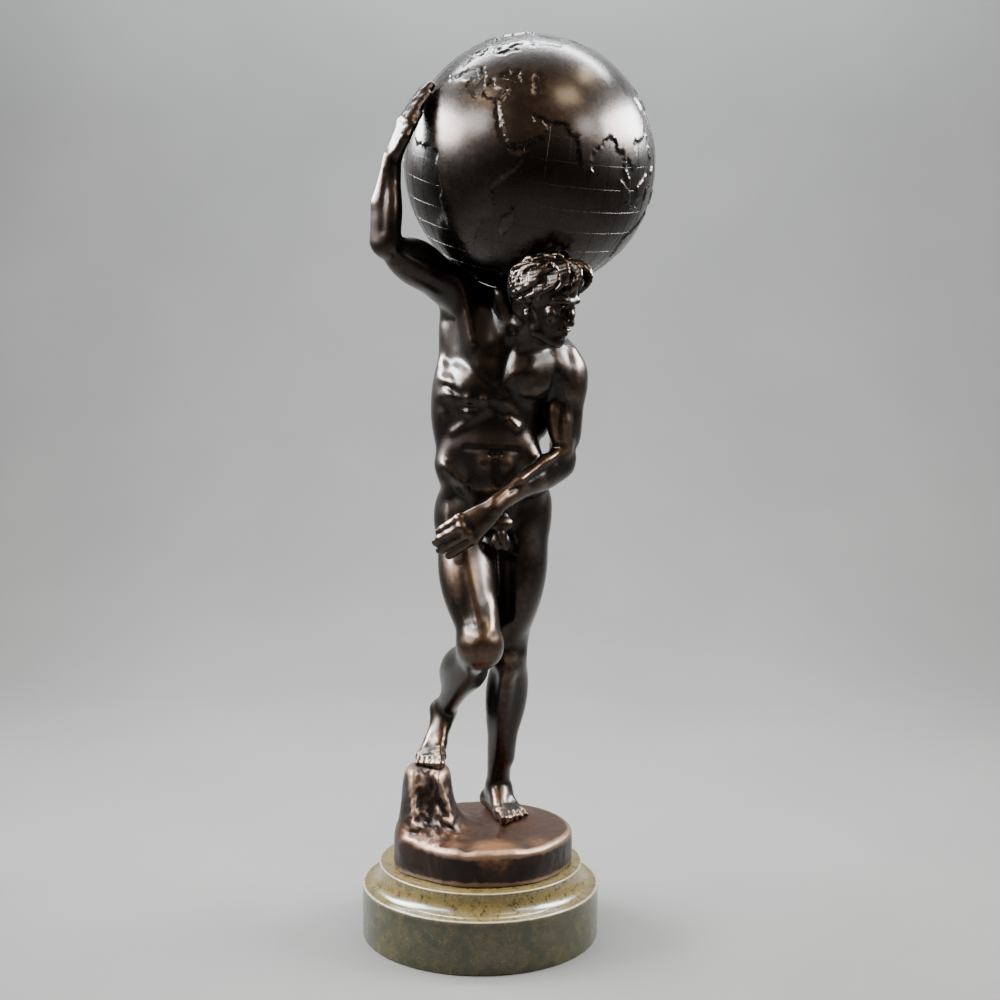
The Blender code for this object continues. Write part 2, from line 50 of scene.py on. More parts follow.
class Clay:
    def __init__(self, low, high, step):
        self.step = step
        self.axes = [np.arange(lo, hi + step, step, dtype=np.float32) for lo, hi in zip(low, high)]
        self.field = np.full([len(axis) for axis in self.axes], clayRules["empty"], np.float32)

    # slices and open coordinate grids around a box
    def window(self, low, high, margin):
        cuts = []
        for axis, lo, hi in zip(self.axes, low, high):
            start = max(0, int(np.searchsorted(axis, lo - margin)) - 1)
            stop = min(len(axis), int(np.searchsorted(axis, hi + margin)) + 1)
            if stop <= start:
                return None
            cuts.append(slice(start, stop))
        return tuple(cuts), np.ix_(*[axis[cut] for axis, cut in zip(self.axes, cuts)])

    # press a form on; with sign -1 the same sum cuts it out
    def press(self, form, soft, sign=1):
        soft = soft * mm
        found = self.window(form[1], form[2], soft + 2 * self.step)
        if found is None:
            return
        cuts, grid = found
        self.field[cuts] = sign * softMin(sign * self.field[cuts], form[0](*grid), soft)

    def cut(self, form, soft):
        self.press(form, soft, -1)

    # swell or sink the surface along a soft stroke that reaches deep along Y
    def stroke(self, places, width, height, reach=14.0):
        width, height, reach = width * mm, height * mm, reach * mm
        places = np.array(places, float) * mm
        margin = clayRules["strokeEnd"] * max(width, reach)
        found = self.window(places.min(0), places.max(0), margin)
        if found is None:
            return
        cuts, (x, y, z) = found
        nearest = np.float32(1.0)
        for a, b in zip(places, places[1:] if len(places) > 1 else places):
            along = b - a
            square = max(float(along[0] ** 2 + along[2] ** 2), 1e-12)
            t = np.clip(((x - a[0]) * along[0] + (z - a[2]) * along[2]) / square, 0.0, 1.0)
            dx, dz = x - a[0] - along[0] * t, z - a[2] - along[2] * t
            dy = (y - a[1] - along[1] * t) * (width / reach)
            nearest = np.minimum(nearest, dx * dx + dy * dy + dz * dz)
        self.field[cuts] -= (height * np.exp(-nearest / width ** 2)).astype(np.float32)

    # a second block of clay on the same lattice, joined softly only near a point
    def join(self, other, soft, near, reach):
        grid = np.ix_(*self.axes)
        away = np.sqrt(sum((axis - at * mm) ** 2 for axis, at in zip(grid, near)))
        fade, crease = clayRules["joinFade"], clayRules["crease"]
        share = np.clip((reach * mm - away) / (fade * reach * mm), 0.0, 1.0)
        self.field = softMin(self.field, other.field, (crease + (soft - crease) * share) * mm)

    # soften every crease by averaging neighbours
    def blur(self, passes):
        for _ in range(passes):
            for axis in range(3):
                f = np.swapaxes(self.field, 0, axis)
                f[1:-1] = 0.25 * f[:-2] + 0.5 * f[1:-1] + 0.25 * f[2:]

    # one point in each cell that the surface crosses, and a quad over each crossed edge
    def skin(self, name):
        field = self.field
        inside = field < 0
        cells = [size - 1 for size in field.shape]
        total = np.zeros(cells, np.uint8)
        for i, j, k in np.ndindex(2, 2, 2):
            total += inside[i:i + cells[0], j:j + cells[1], k:k + cells[2]]
        active = (total > 0) & (total < 8)
        at = np.nonzero(active)
        index = np.full(cells, -1, np.int32)
        index[active] = np.arange(len(at[0]), dtype=np.int32)
        summed = np.zeros((len(at[0]), 3))
        crossings = np.zeros(len(at[0]))
        for axis in range(3):
            for i, j in np.ndindex(2, 2):
                first = [i, j]
                first.insert(axis, 0)
                near = field[tuple(a + o for a, o in zip(at, first))]
                second = list(first)
                second[axis] = 1
                far = field[tuple(a + o for a, o in zip(at, second))]
                crossed = (near < 0) != (far < 0)
                share = near[crossed] / (near[crossed] - far[crossed])
                point = np.tile(np.array(first, float), (int(crossed.sum()), 1))
                point[:, axis] += share
                summed[crossed] += point
                crossings[crossed] += 1
        places = summed / crossings[:, None] + np.stack(at, 1)
        places = places * self.step + [axis[0] for axis in self.axes]
        quads = []
        for axis in range(3):
            u, v = [other for other in range(3) if other != axis]
            first = [slice(1, -1)] * 3
            first[axis] = slice(0, -1)
            second = list(first)
            second[axis] = slice(1, None)
            a, b = inside[tuple(first)], inside[tuple(second)]
            for sign, mask in ((1, a & ~b), (-1, ~a & b)):
                where = list(np.nonzero(mask))
                where[u] = where[u] + 1
                where[v] = where[v] + 1
                ring = []
                for du, dv in ((-1, -1), (0, -1), (0, 0), (-1, 0)):
                    cell = list(where)
                    cell[u] = cell[u] + du
                    cell[v] = cell[v] + dv
                    ring.append(index[tuple(cell)])
                if (sign > 0) != (axis != 1):
                    ring.reverse()
                quads.append(np.stack(ring, 1))
        return meshFrom(name, places, np.concatenate(quads))


# lesser of two distances, with a fillet as wide as soft where they meet
def softMin(a, b, soft):
    h = np.maximum(soft - np.abs(a - b), 0.0) / np.maximum(soft, 1e-9)
    return np.minimum(a, b) - h * h * soft * 0.25


def meshFrom(name, places, quads):
    mesh = bpy.data.meshes.new(name)
    mesh.vertices.add(len(places))
    mesh.vertices.foreach_set("co", np.asarray(places, np.float32).ravel())
    mesh.loops.add(quads.size)
    mesh.loops.foreach_set("vertex_index", quads.astype(np.int32).ravel())
    mesh.polygons.add(len(quads))
    mesh.polygons.foreach_set("loop_start", np.arange(0, quads.size, quads.shape[1], dtype=np.int32))
    mesh.update(calc_edges=True)
    mesh.validate()
    return mesh


# tapered rod with round ends, lengths in millimetres
def rod(a, b, ra, rb=None):
    rb = ra if rb is None else rb
    a, b = np.array(a, float) * mm, np.array(b, float) * mm
    ra, rb = ra * mm, rb * mm
    along = b - a
    square = float(along @ along)

    def distance(x, y, z):
        px, py, pz = x - a[0], y - a[1], z - a[2]
        t = np.clip((px * along[0] + py * along[1] + pz * along[2]) / square, 0.0, 1.0)
        dx, dy, dz = px - along[0] * t, py - along[1] * t, pz - along[2] * t
        return np.sqrt(dx * dx + dy * dy + dz * dz) - (ra + (rb - ra) * t)

    wide = max(ra, rb)
    return distance, np.minimum(a, b) - wide, np.maximum(a, b) + wide


# square axes: along long, then sideways, then across both
def axesOf(long, side):
    z = np.array(long, float)
    z /= np.linalg.norm(z)
    x = np.array(side, float)
    x -= z * (x @ z)
    x /= np.linalg.norm(x)
    return np.stack([z, x, np.cross(z, x)])


# ellipsoid: middle, long axis, sideways axis, half sizes along them and across
def lump(centre, long, side, sizes):
    centre = np.array(centre, float) * mm
    turn = axesOf(long, side)
    half = np.array(sizes, float) * mm

    def distance(x, y, z):
        px, py, pz = x - centre[0], y - centre[1], z - centre[2]
        near, far = 0.0, 0.0
        for axis, size in zip(turn, half):
            q = (px * axis[0] + py * axis[1] + pz * axis[2]) / size
            near = near + q * q
            far = far + (q / size) ** 2
        near = np.sqrt(near)
        return near * (near - 1.0) / np.maximum(np.sqrt(far), 1e-6)

    reach = np.sqrt(((turn * half[:, None]) ** 2).sum(0))
    return distance, centre - reach, centre + reach


def ball(centre, radius):
    return rod(centre, np.array(centre, float) + [0, 0, 0.01], radius)


# rods through a row of places, with a radius at each
def cord(clay, places, radii, soft, cut=False):
    for a, b, ra, rb in zip(places, places[1:], radii, radii[1:]):
        clay.press(rod(a, b, ra, rb), soft, -1 if cut else 1)


# press on a table of forms in its order. A row starts with the softness of its join.
# A ball then has its middle and radius, a rod two places and two radii, and a lump its
# middle, long axis and half sizes, with a sideways axis where that isn't x.
def pressForms(clay, forms):
    for soft, first, second, *rest in forms:
        if not rest:
            form = ball(first, second)
        elif isinstance(rest[0], tuple):
            form = lump(first, second, rest[1] if len(rest) > 1 else (1, 0, 0), rest[0])
        else:
            form = rod(first, second, *rest)
        clay.press(form, soft)


# hollow in which the globe lies
def cutGlobe(clay, soft):
    centre = np.array(globe["centre"]) / mm
    clay.cut(ball(centre, (globe["radius"] + globe["landRise"] + globe["gap"]) / mm), soft)


def drawStrokes(clay, rows, reach=14.0):
    for places, width, height in rows:
        clay.stroke(places, width, height, reach)


# sizes: the globe and the corners of the clay in metres, all else in millimetres or degrees
globe = {
    "centre": Vector((0.0396, 0.0, 0.7082)),
    "radius": 0.1125,
    "landRise": 0.0010,
    "gap": 0.0003,
    "facing": 52.9,
    "tip": 15.1,
    "roll": 8.6,
    "shoreSpacing": 0.5,
    "shoreWidths": (0.16, 0.5),
    "fillers": 34000,
    "fillerGap": 0.55,
    "lineSpacing": 10,
    "lineStep": 2.0,
    "lineRadius": 0.0002,
    "lineSides": 6,
}
man = {
    "step": 1.5, "headStep": 0.75, "faces": 190000,
    "low": (-0.104, -0.100, 0.092), "high": (0.102, 0.064, 0.782),
    "shankJoin": (15, (-4, -44, 272), 40),
    "leftArmJoin": (9, (72, -4, 530), 44), "rightArmJoin": (16, (-28, -8, 596), 52),
}

joints = {
    "hipL": (33, 13, 380), "kneeL": (25, 17, 258), "ankleL": (16.5, 45, 122),
    "hipR": (-18, 7, 384), "kneeR": (-1, -49, 283), "ankleR": (-37, 36, 201),
    "shoulderR": (-27, -7, 597), "elbowR": (-84, -65, 631), "wristR": (-78, -66, 704),
    "shoulderL": (76, -3, 522), "elbowL": (71, 6, 440), "wristL": (10, -52, 402),
}


# trunk, thighs and left shank
trunkForms = [
    # rib cage, chest, belly, pelvis and seat
    (8, (6, 2, 492), (0.1, 0, 1), (62, 49, 34)),
    (10, (24, -2, 532), (0.83, 0, -0.45), (54, 36, 33), (0.45, 0, 0.83)),
    (10, (5, 1, 442), (0, 0, 1), (42, 42, 30)),
    (10, (7, 9, 400), (1, 0, 0), (51, 34, 33), (0, 0, 1)),
    (6, (31, 33, 374), (0.1, 0, 1), (32, 25, 23)),
    (6, (-15, 30, 379), (-0.1, 0, 1), (32, 25, 23)),
    # back: broad muscles of the flank, cords beside the spine, shoulder blades
    (8, (-28, 8, 540), (-0.05, 0, 1), (60, 20, 13), (0.3, -1, 0)),
    (8, (-34, 4, 490), (0, 0, 1), (46, 24, 14.5), (0, 1, 0)),
    (10, (46, 10, 394), (0.1, 0, 1), (32, 17, 22)),
    (8, (52, 10, 505), (0, 0, 1), (44, 22, 12), (0.3, 1, 0)),
    (14, (-3, 23, 405), (7, 22, 535), 11, 11),
    (14, (19, 23, 405), (29, 20, 535), 11, 11),
    (6, (-12, 26, 556), (0.5, 0.1, 0.9), (30, 20, 10), (1, 0, -0.4)),
    (6, (52, 24, 536), (0.1, 0, 1), (28, 19, 10)),
    # thighs
    (8, joints["hipR"], joints["kneeR"], 27.5, 17.5),
    (10, joints["hipL"], joints["kneeL"], 27, 16),
    (10, (37, 2, 338), (-0.12, 0.05, -1), (52, 22, 25)),
    (6, (24, 26, 335), (-0.05, 0, -1), (52, 20, 16)),
    (12, (29, 0, 312), (-0.1, 0.1, -1), (38, 17, 18)),
    (10, (17, 4, 290), (0.1, 0.1, -1), (24, 9, 12)),
    (6, (-16, -22, 342), (0.12, -0.42, -0.9), (52, 24, 22)),
    (6, (-4, -42, 314), (0.05, -0.35, -0.9), (34, 10, 9)),
    (8, (5, -48, 296), (-0.05, -0.35, -0.9), (24, 8, 11)),
    (6, (-17, -36, 306), (0.35, -0.3, -0.9), (34, 10, 12), (1, -0.4, 0)),
    (6, (-14, 2, 320), (0.2, -0.35, -0.9), (46, 19, 16)),
    # left knee and shank
    (8, joints["kneeL"], joints["ankleL"], 14.5, 9.6),
    (3, (25, 1, 261), (0, 0, 1), (9, 8, 5)),
    (4, (25, 3, 252), (24, 4, 240), 4.5, 4),
    (6, (15, 30, 218), (-0.06, 0.1, -1), (38, 12, 13)),
    (6, (31.5, 29, 220), (-0.08, 0.1, -1), (38, 12, 12)),
    (6, (24, 6, 245), (16.5, 36, 140), 8, 6),
    (8, (31, 18, 246), (24.5, 34, 155), 7.5, 6),
    (7, (21, 36, 200), (10, 58, 118), 6, 4.5),
    (10, (17, 34, 121), (0, -0.8, -0.6), (14, 8.5, 7)),
    (8, (13, 36, 190), (13, 42, 130), 7, 6),
    (8, (10, 44, 125), 4.2),
    (8, (23.5, 44, 122), 4.2),
    # right knee and shank
    (8, (2, -60, 286), (0, 0.35, 1), (13, 11, 8)),
    (8, (-6, -55, 279), (0, 0.35, 1), (12, 8, 8)),
    (8, (9, -54, 277), (0, 0.35, 1), (12, 8, 9)),
]

rightShankForms = [
    (5, joints["kneeR"], joints["ankleR"], 16, 8.5),
    (8, (-4, -46, 271), (-0.3, 0.7, -0.7), (16, 15, 13)),
    (8, (-24, 4, 248), (-0.25, 0.8, -0.55), (36, 14, 17), (1, 0.3, 0)),
    (8, (-10, 4, 242), (-0.35, 0.8, -0.5), (34, 12, 15), (1, 0.3, 0)),
    (8, (-2, -44, 264), (-32, 26, 205), 7.5, 6),
    (8, (-27, 24, 232), (-38, 51, 196), 6, 4.5),
    (10, (-36, 27, 197), (0, -0.6, -0.8), (14, 8, 7)),
    (7, (-44.5, 34, 203), 4.4),
    (7, (-29.5, 33, 201), 4.4),
]


# foot: heel, instep, ball and five toes with nails
def modelFoot(clay, foot):
    ankle, heel, ball1, ball5, toe1, toe5 = [
        np.array(foot[key], float) for key in ("ankle", "heel", "ball", "outer", "toe", "last")
    ]
    pressForms(clay, [
        (8, ankle, heel, 8.6, 8.4), (8, ankle, ankle * 0.35 + ball1 * 0.65, 8.2, 6.5),
        (8, ankle, ball5 * 0.6 + ankle * 0.4, 7, 5), (5, heel, ball5, 7, 5),
        (5, heel, ball1, 6.5, 6.5), (4, ball1, ball5, 6.4, 4.8),
    ])
    for toe in range(5):
        share = toe / 4
        root = ball1 * (1 - share) + ball5 * share
        tip = toe1 * (1 - share) + toe5 * share
        radius = 4.3 - 1.6 * share if toe else 5.0
        lift = np.array([0, 0, 1.6 + 1.0 * (toe > 0)])
        middle = (root + tip) / 2 + lift
        cord(clay, [root + lift * 0.6, middle, tip], [radius, radius * 0.86, radius * 0.92], 1.2)
        ahead = (tip - root) / np.linalg.norm(tip - root)
        nail = tip + ahead * radius * 0.25 + [0, 0, radius * 0.72]
        cordEnd = ankle * 0.75 + root * 0.25 + [0, 0, 2.0]
        pressForms(clay, [
            (0.4, nail, ahead, (radius * 0.62, radius * 0.6, radius * 0.28)),
            (4, root + lift, cordEnd, 1.6, 2.2),
        ])


feet = {
    "left": {
        "ankle": (16.5, 45, 121), "heel": (7, 54, 110), "ball": (19, 10, 108),
        "outer": (37, 23, 106), "toe": (22, -5, 106.5), "last": (43, 15, 105),
    },
    "right": {
        "ankle": (-37, 36, 199), "heel": (-39, 48, 188), "ball": (-39.5, -2, 165.5),
        "outer": (-56, 3, 163.5), "toe": (-37, -17, 161.5), "last": (-59, -8, 160.5),
    },
}

# strokes over the trunk and thighs: places, half width, rise of the surface
strokes = [
    # fold of the breast up to the raised arm, with a hollow on both sides
    ([(-26, -18, 611), (-20, -30, 593), (-16, -36, 575), (-11, -38, 549)], 4.5, 3.0),
    ([(-39, -14, 582), (-34, -22, 562), (-27, -28, 547)], 5, -1.6),
    ([(-5, -34, 590), (0, -36, 562), (5, -38, 535)], 7, -2.4),
    # edge of the flank, saw teeth and ribs
    ([(-39, -6, 560), (-38, -8, 545), (-41, -8, 530)], 6, 0.8),
    ([(-29, -24, 526)], 4.5, 1.6), ([(-37.5, -18, 516)], 4.2, 1.6), ([(-31.5, -24, 500)], 4.2, 1.6),
    ([(-38, -14, 500)], 4, 1.2), ([(-36, -16, 484)], 4.5, 1.2),
    ([(-34, -20, 534), (-24, -30, 514), (-26, -28, 505)], 3.4, -1.0),
    ([(-33, -22, 509), (-22, -30, 503)], 2.6, -1.4),
    ([(-20, -32, 534), (-4, -37, 517), (8, -38, 508)], 4, -0.9),
    ([(-14, -36, 498)], 4, 2.6), ([(-14, -35, 485)], 4.4, 2.4), ([(0, -38, 497)], 4, 2.8),
    ([(-8, -36, 491), (-22, -32, 491)], 2.6, -1.4),
    ([(24, -36, 480), (31, -32, 473)], 4, 2.6), ([(22, -38, 494), (29, -36, 488)], 4, 2.4),
    ([(10, -38, 492), (18, -38, 484)], 3.5, -1.4),
    # border of the ribs and the hollow under it
    ([(4, -38, 489), (-14, -35, 477), (-28, -28, 468)], 4, 1.5),
    ([(-8, -36, 467), (8, -38, 467), (24, -36, 465)], 9, -1.2),
    # left breast and the breast bone
    ([(40, -40, 524)], 12, 3.0), ([(34, -36, 543)], 5, 1.4), ([(27, -40, 520)], 4, 1.0),
    ([(23, -40, 509), (32, -40, 498), (48, -38, 497), (60, -32, 505), (66, -26, 517)], 3.6, -1.8),
    ([(26, -34, 549), (19, -38, 528), (14, -38, 503)], 4, -2.4),
    # waist fold, navel and belly
    ([(-16, -33, 454), (8, -36, 453), (30, -34, 452)], 2.4, -1.1),
    ([(0, -36, 441)], 7, 2.0), ([(22, -34, 440)], 6.5, 1.8),
    ([(6, -36, 448), (16, -36, 448)], 1.7, -2.0),
    ([(11, -36, 441), (13, -34, 422)], 2.6, -1.2),
    # hip crest, groin and flank
    ([(-34, -20, 438), (-26, -25, 429), (-17, -27, 422)], 4, 2.4),
    ([(-35, -22, 428), (-22, -28, 417)], 3.4, -0.8),
    ([(47, -20, 447)], 6, 2.0), ([(42, -24, 428), (36, -28, 418)], 3.5, 1.4),
    ([(-29, -26, 418), (-1, -30, 387)], 3.6, -1.6), ([(43, -25, 411), (24, -31, 386)], 3.6, -1.5),
    ([(-34, -20, 410), (-33, -22, 388)], 5, 1.6),
    # pit of the neck
    ([(25, -42, 557)], 4, -2.6),
    # right thigh: rectus, outer and inner heads, grooves and knee
    ([(-17, -28, 366), (-8, -44, 325), (-4, -54, 304)], 5.5, 2.0),
    ([(-24, -22, 350), (-19, -38, 316), (-15, -48, 295)], 5, 1.6),
    ([(-16, -32, 345), (-11, -46, 312), (-10, -54, 296)], 3, -0.8),
    ([(7, -56, 298)], 7, 1.2),
    ([(1, -66, 288)], 6, 1.2), ([(-10, -60, 288)], 3.4, -1.0), ([(11, -62, 290)], 3.4, -0.8),
    ([(-24, -30, 322)], 5, 1.0), ([(-12, -52, 300)], 3.5, 0.8),
    # left thigh and knee
    ([(40, -22, 372), (35, -16, 325), (30, -10, 296)], 8, 1.0),
    ([(26, -16, 350), (26, -10, 300)], 4, -1.6), ([(17, -8, 290)], 7, 1.4),
    ([(25, -4, 262)], 7, 0.8), ([(15, 0, 264)], 4, -0.6), ([(35, 0, 266)], 4, -0.5),
    ([(25, 0, 246), (21, 10, 210), (15, 30, 150)], 4.5, 0.5),
    ([(31, 6, 236), (26, 18, 190)], 4.5, -0.6),
    # back: spine, cords beside it, shoulder blade, ribs and the dimples over the seat
    ([(8, 36, 404), (12, 37, 450), (18, 36, 500), (20, 34, 545)], 3.4, -1.8),
    ([(-3, 35, 412), (1, 36, 455), (6, 36, 505)], 6.5, 1.5),
    ([(19, 35, 412), (24, 36, 455), (31, 34, 505)], 6.5, 1.5),
    ([(-8, 36, 578), (-14, 36, 556), (-22, 34, 532)], 4, 1.6),
    ([(48, 32, 556), (42, 34, 535), (44, 34, 515)], 4, 1.4),
    ([(-14, 34, 522), (-30, 28, 500), (-36, 22, 470)], 4.5, -1.2),
    ([(-12, 36, 414)], 4.5, -1.6), ([(28, 36, 412)], 4.5, -1.6),
    ([(-20, 32, 500), (-36, 22, 508)], 4, 0.8), ([(-16, 33, 478), (-34, 22, 486)], 4, 0.8),
    ([(36, 33, 482), (52, 22, 490)], 4, 0.8),
    # nipples
    ([(46, -38, 509)], 2, 0.8), ([(-11, -36, 541)], 2, 0.7),
]


# surface forms of the trunk
padForms = [
    # oblique pads over the hips and the crest below them
    (12, (-28, -3, 438), (0.05, 0, 1), (26, 20, 12), (0.4, 1, 0)),
    (12, (41, -3, 438), (-0.05, 0, 1), (26, 20, 11), (-0.4, 1, 0)),
    (12, (-27, -14, 430), (0.7, -0.45, -0.6), (18, 9, 7), (0, 1, 0.3)),
    (12, (38, -14, 429), (-0.7, -0.45, -0.6), (18, 9, 7), (0, 1, 0.3)),
    # left breast: hanging pad
    (12, (43, -20, 524), (0.95, 0.25, 0.2), (31, 22, 16), (-0.2, 0, 0.9)),
    (12, (37, -22, 512), (0.95, 0.15, 0.1), (22, 14, 12), (0, 0, 1)),
    # right breast drawn up to the arm in a fan
    (10, (8, -24, 548), (-24, -15, 600), 14, 9),
    (10, (0, -24, 530), (-22, -15, 594), 14, 9),
    (10, (-2, -17, 508), (1, 0, 0.1), (34, 24, 20), (0, 0, 1)),
    # belly
    (12, (8, -14, 455), (1, 0, 0), (35, 24, 19), (0, 0, 1)),
    (10, (10, -17, 430), (0, 0.1, 1), (27, 29, 16)),
]
shoulderForms = [
    (8, (28, -12, 546), (52, -44, 574), 19, 17),
    (6, (40, -2, 560), (48, -30, 584), 17, 15),
    (8, (14, -28, 590), (24, -33, 557), 8, 6),
    (5, (48, -56, 572), (30, -36, 556), 6, 4.5),
    (8, (46, -4, 574), (72, 3, 542), 12, 10),
    (8, (40, 4, 576), (-8, 8, 588), 15, 15),
    (8, (10, 10, 572), (0.9, 0, -0.4), (36, 16, 22), (0.4, 0, 0.9)),
]
sexForms = [
    (6, (15, -28, 386), (1, 0, 0), (13, 8, 8), (0, 0, 1)),
    (4, (13, -27, 370), (0.1, 0, 1), (9, 5.5, 6)),
    (4, (20, -26, 369), (-0.1, 0, 1), (9, 5.5, 6)),
]


def modelTorsoMuscles(clay):
    pressForms(clay, padForms)
    # spine groove and the cleft of the seat
    clay.cut(rod((8, 40, 405), (19, 38, 545), 2.2, 2.6), 8)
    clay.cut(rod((8, 57, 352), (8, 53, 398), 3.5, 2.0), 6)
    # collar bones, neck cords and shoulder ridges
    cord(clay, [(29, -32, 549), (50, -29, 553), (76, -12, 542)], [3.4, 3.4, 4], 5)
    cord(clay, [(18, -30, 556), (0, -23, 577), (-20, -10, 602)], [3.4, 3.4, 4], 8)
    pressForms(clay, shoulderForms)
    clay.blur(3)
    drawStrokes(clay, strokes)
    pressForms(clay, sexForms)
    cord(clay, [(16, -30, 382), (17, -33, 377), (17.5, -33, 371)], [4.0, 3.4, 2.8], 3)


# arms
leftArmForms = [
    (8, (77, -4, 517), (0.1, 0, -1), (30, 17, 21)),
    (8, (69, -15, 519), (0.3, 0.1, -1), (27, 9, 10), (1, 0.6, 0)),
    (8, joints["shoulderL"], joints["elbowL"], 15, 11),
    (8, (65, -10, 482), (0.12, 0, -1), (30, 9, 11)),
    (8, (75, -11, 474), (0.1, 0.1, -1), (24, 7, 8)),
    (8, (81, 2, 488), (0.1, 0.1, -1), (33, 8, 12)),
    (8, (75, 12, 488), (0.05, 0, -1), (34, 11, 11)),
    (6, (73, 13, 437), 5.5),
    (6, (79, 2, 444), 5.0),
    # forearm
    (6, joints["elbowL"], joints["wristL"], 11, 7.4),
    (8, (56, -12, 436), (-0.72, -0.52, -0.36), (30, 9.5, 10), (0, 0, 1)),
    (8, (56, -8, 425), (-0.72, -0.5, -0.33), (32, 9.5, 10), (0, 0, 1)),
]
armStrokes = [
    ([(60, -30, 541), (65, -28, 508)], 3, -2.0), ([(75, -20, 542), (80, -16, 512)], 3, -0.8),
    ([(70, -24, 496), (69, -20, 464)], 2.2, -1.4), ([(80, -14, 494), (80, -10, 464)], 2.2, -1.4),
    ([(62, -22, 486)], 6, 1.0), ([(75, -22, 478)], 5, 1.0), ([(87, -4, 482)], 5, 0.8),
    ([(67, -20, 456), (60, -24, 450)], 2.4, -1.2), ([(78, -6, 447)], 4, 1.2),
    ([(74, -12, 454), (56, -26, 443), (32, -42, 427), (8, -52, 412)], 3, 1.2),
    ([(66, -18, 442), (48, -32, 431), (24, -48, 417)], 2.6, -1.4),
]
rightUpperArmForms = [
    (6, (-34, -14, 601), (-0.6, -0.6, 0.35), (30, 19, 20), (0, 0, 1)),
    (6, joints["shoulderR"], joints["elbowR"], 18, 12),
    (6, (-58, -38, 610), (-0.62, -0.6, 0.3), (35, 15, 16), (0, 0, 1)),
    (5, (-55, -36, 624), (-0.62, -0.65, 0.3), (27, 12, 13), (0, 0, 1)),
]
rightForearmForms = [
    (5, (-91, -61, 631), 5.5),
    (5, joints["elbowR"], joints["wristR"], 11.5, 7.2),
    (5, (-86, -66, 655), (0.1, 0, 1), (30, 10.5, 11)),
    (7, (-79, -71, 652), (0.06, 0.05, 1), (26, 8, 9)),
]


def modelLeftArm(clay):
    pressForms(clay, leftArmForms)
    # long ridges of the forearm
    cord(clay, [(73, -6, 453), (57, -19, 442), (34, -39, 425), (12, -53, 408)], [5, 5.5, 4.4, 3.4], 7)
    cord(clay, [(72, 2, 436), (50, -22, 426), (24, -43, 413), (8, -55, 403)], [4.5, 4.4, 3.6, 3], 7)
    clay.blur(1)
    drawStrokes(clay, armStrokes, 9)


def modelRightArm(clay):
    pressForms(clay, rightUpperArmForms)
    clay.stroke([(-48, -50, 619), (-72, -70, 626)], 2.6, -1.6)
    pressForms(clay, rightForearmForms)
    cord(clay, [(-91, -64, 634), (-90, -68, 665), (-82, -70, 704)], [4.5, 4.6, 3.2], 7)
    clay.stroke([(-86, -80, 640), (-84, -78, 690)], 2.2, -1.0)
    clay.blur(1)


# hand: palm, and fingers close together with low knuckles and nails
def modelHand(clay, hand):
    press = clay.press
    wrist = np.array(hand["wrist"], float)
    out = np.array(hand["back"], float)
    out /= np.linalg.norm(out)
    knuckles = [np.array(place, float) for place in hand["knuckles"]]
    tips = [np.array(place, float) for place in hand["tips"]]
    middle = sum(knuckles) / 4
    across = knuckles[0] - knuckles[3]
    press(lump((wrist + middle) / 2 - out, middle - wrist, across, hand["palm"]), 4)
    for knuckle, tip, radius in zip(knuckles, tips, fingerRadii):
        side = (knuckle - middle) * 0.5
        press(rod(wrist + side * 0.5, knuckle - out * 1.0, 5.2, 4.8), 4)
        bend = knuckle * 0.52 + tip * 0.48 + out * hand["bend"]
        last = knuckle * 0.2 + tip * 0.8 + out * hand["bend"] * 0.7
        cord(clay, [knuckle, bend, last, tip], [radius, radius, radius * 0.95, radius * 0.84], 1.3)
        press(ball(knuckle + out * 0.5, radius * 0.96), 3)
        ahead = (tip - last) / np.linalg.norm(tip - last)
        nail = tip + out * radius * 0.55 + ahead * radius * 0.2
        press(lump(nail, ahead, across, (radius * 0.8, radius * 0.6, radius * 0.3)), 0.5)
    for a, b, c, d in zip(knuckles, knuckles[1:], tips, tips[1:]):
        press(rod((a + b) / 2, ((a + b) * 0.3 + (c + d) * 0.7) / 2, 3.9, 3.3), 1.6)
    if "thumb" in hand:
        cord(clay, hand["thumb"], hand["thumbRadii"], 2.2)


fingerRadii = (4.7, 4.9, 4.7, 4.2)
hands = {
    "left": {
        "wrist": (10, -52, 402), "back": (-0.15, -0.95, 0.3), "bend": 0.6,
        "knuckles": [(-20, -57, 393), (-18, -60, 386), (-13, -60, 380), (-7.5, -57, 375)],
        "tips": [(-38, -46, 380), (-41, -46, 371), (-37.5, -47, 364), (-29.5, -48, 359)],
        "palm": (20, 11.5, 6.4),
    },
    "right": {
        "wrist": (-78, -67, 704), "back": (-0.80, -0.52, 0.05), "bend": 1.5,
        "knuckles": [(-64, -75, 732), (-67, -70, 735), (-70, -65, 734), (-72, -60, 731)],
        "tips": [(-49, -63, 757), (-46.5, -57, 766), (-49, -51, 767), (-54, -46, 760)],
        "thumb": [(-74, -73, 708), (-67, -79, 719), (-61, -76, 730), (-55.5, -70, 740)],
        "palm": (19, 8.6, 5.6), "thumbRadii": [5.6, 4.8, 4.0, 3.3],
    },
}


def modelMan():
    print("modelling the man")
    body, shank, leftArm, rightArm = [Clay(man["low"], man["high"], man["step"] * mm) for _ in range(4)]
    pressForms(body, trunkForms)
    modelTorsoMuscles(body)
    print("modelling the shank, feet and arms")
    pressForms(shank, rightShankForms)
    modelFoot(body, feet["left"])
    modelFoot(shank, feet["right"])
    body.join(shank, *man["shankJoin"])
    modelLeftArm(leftArm)
    modelHand(leftArm, hands["left"])
    body.join(leftArm, *man["leftArmJoin"])
    modelRightArm(rightArm)
    modelHand(rightArm, hands["right"])
    body.join(rightArm, *man["rightArmJoin"])
    cutGlobe(body, 0.8)
    return body.skin("man")


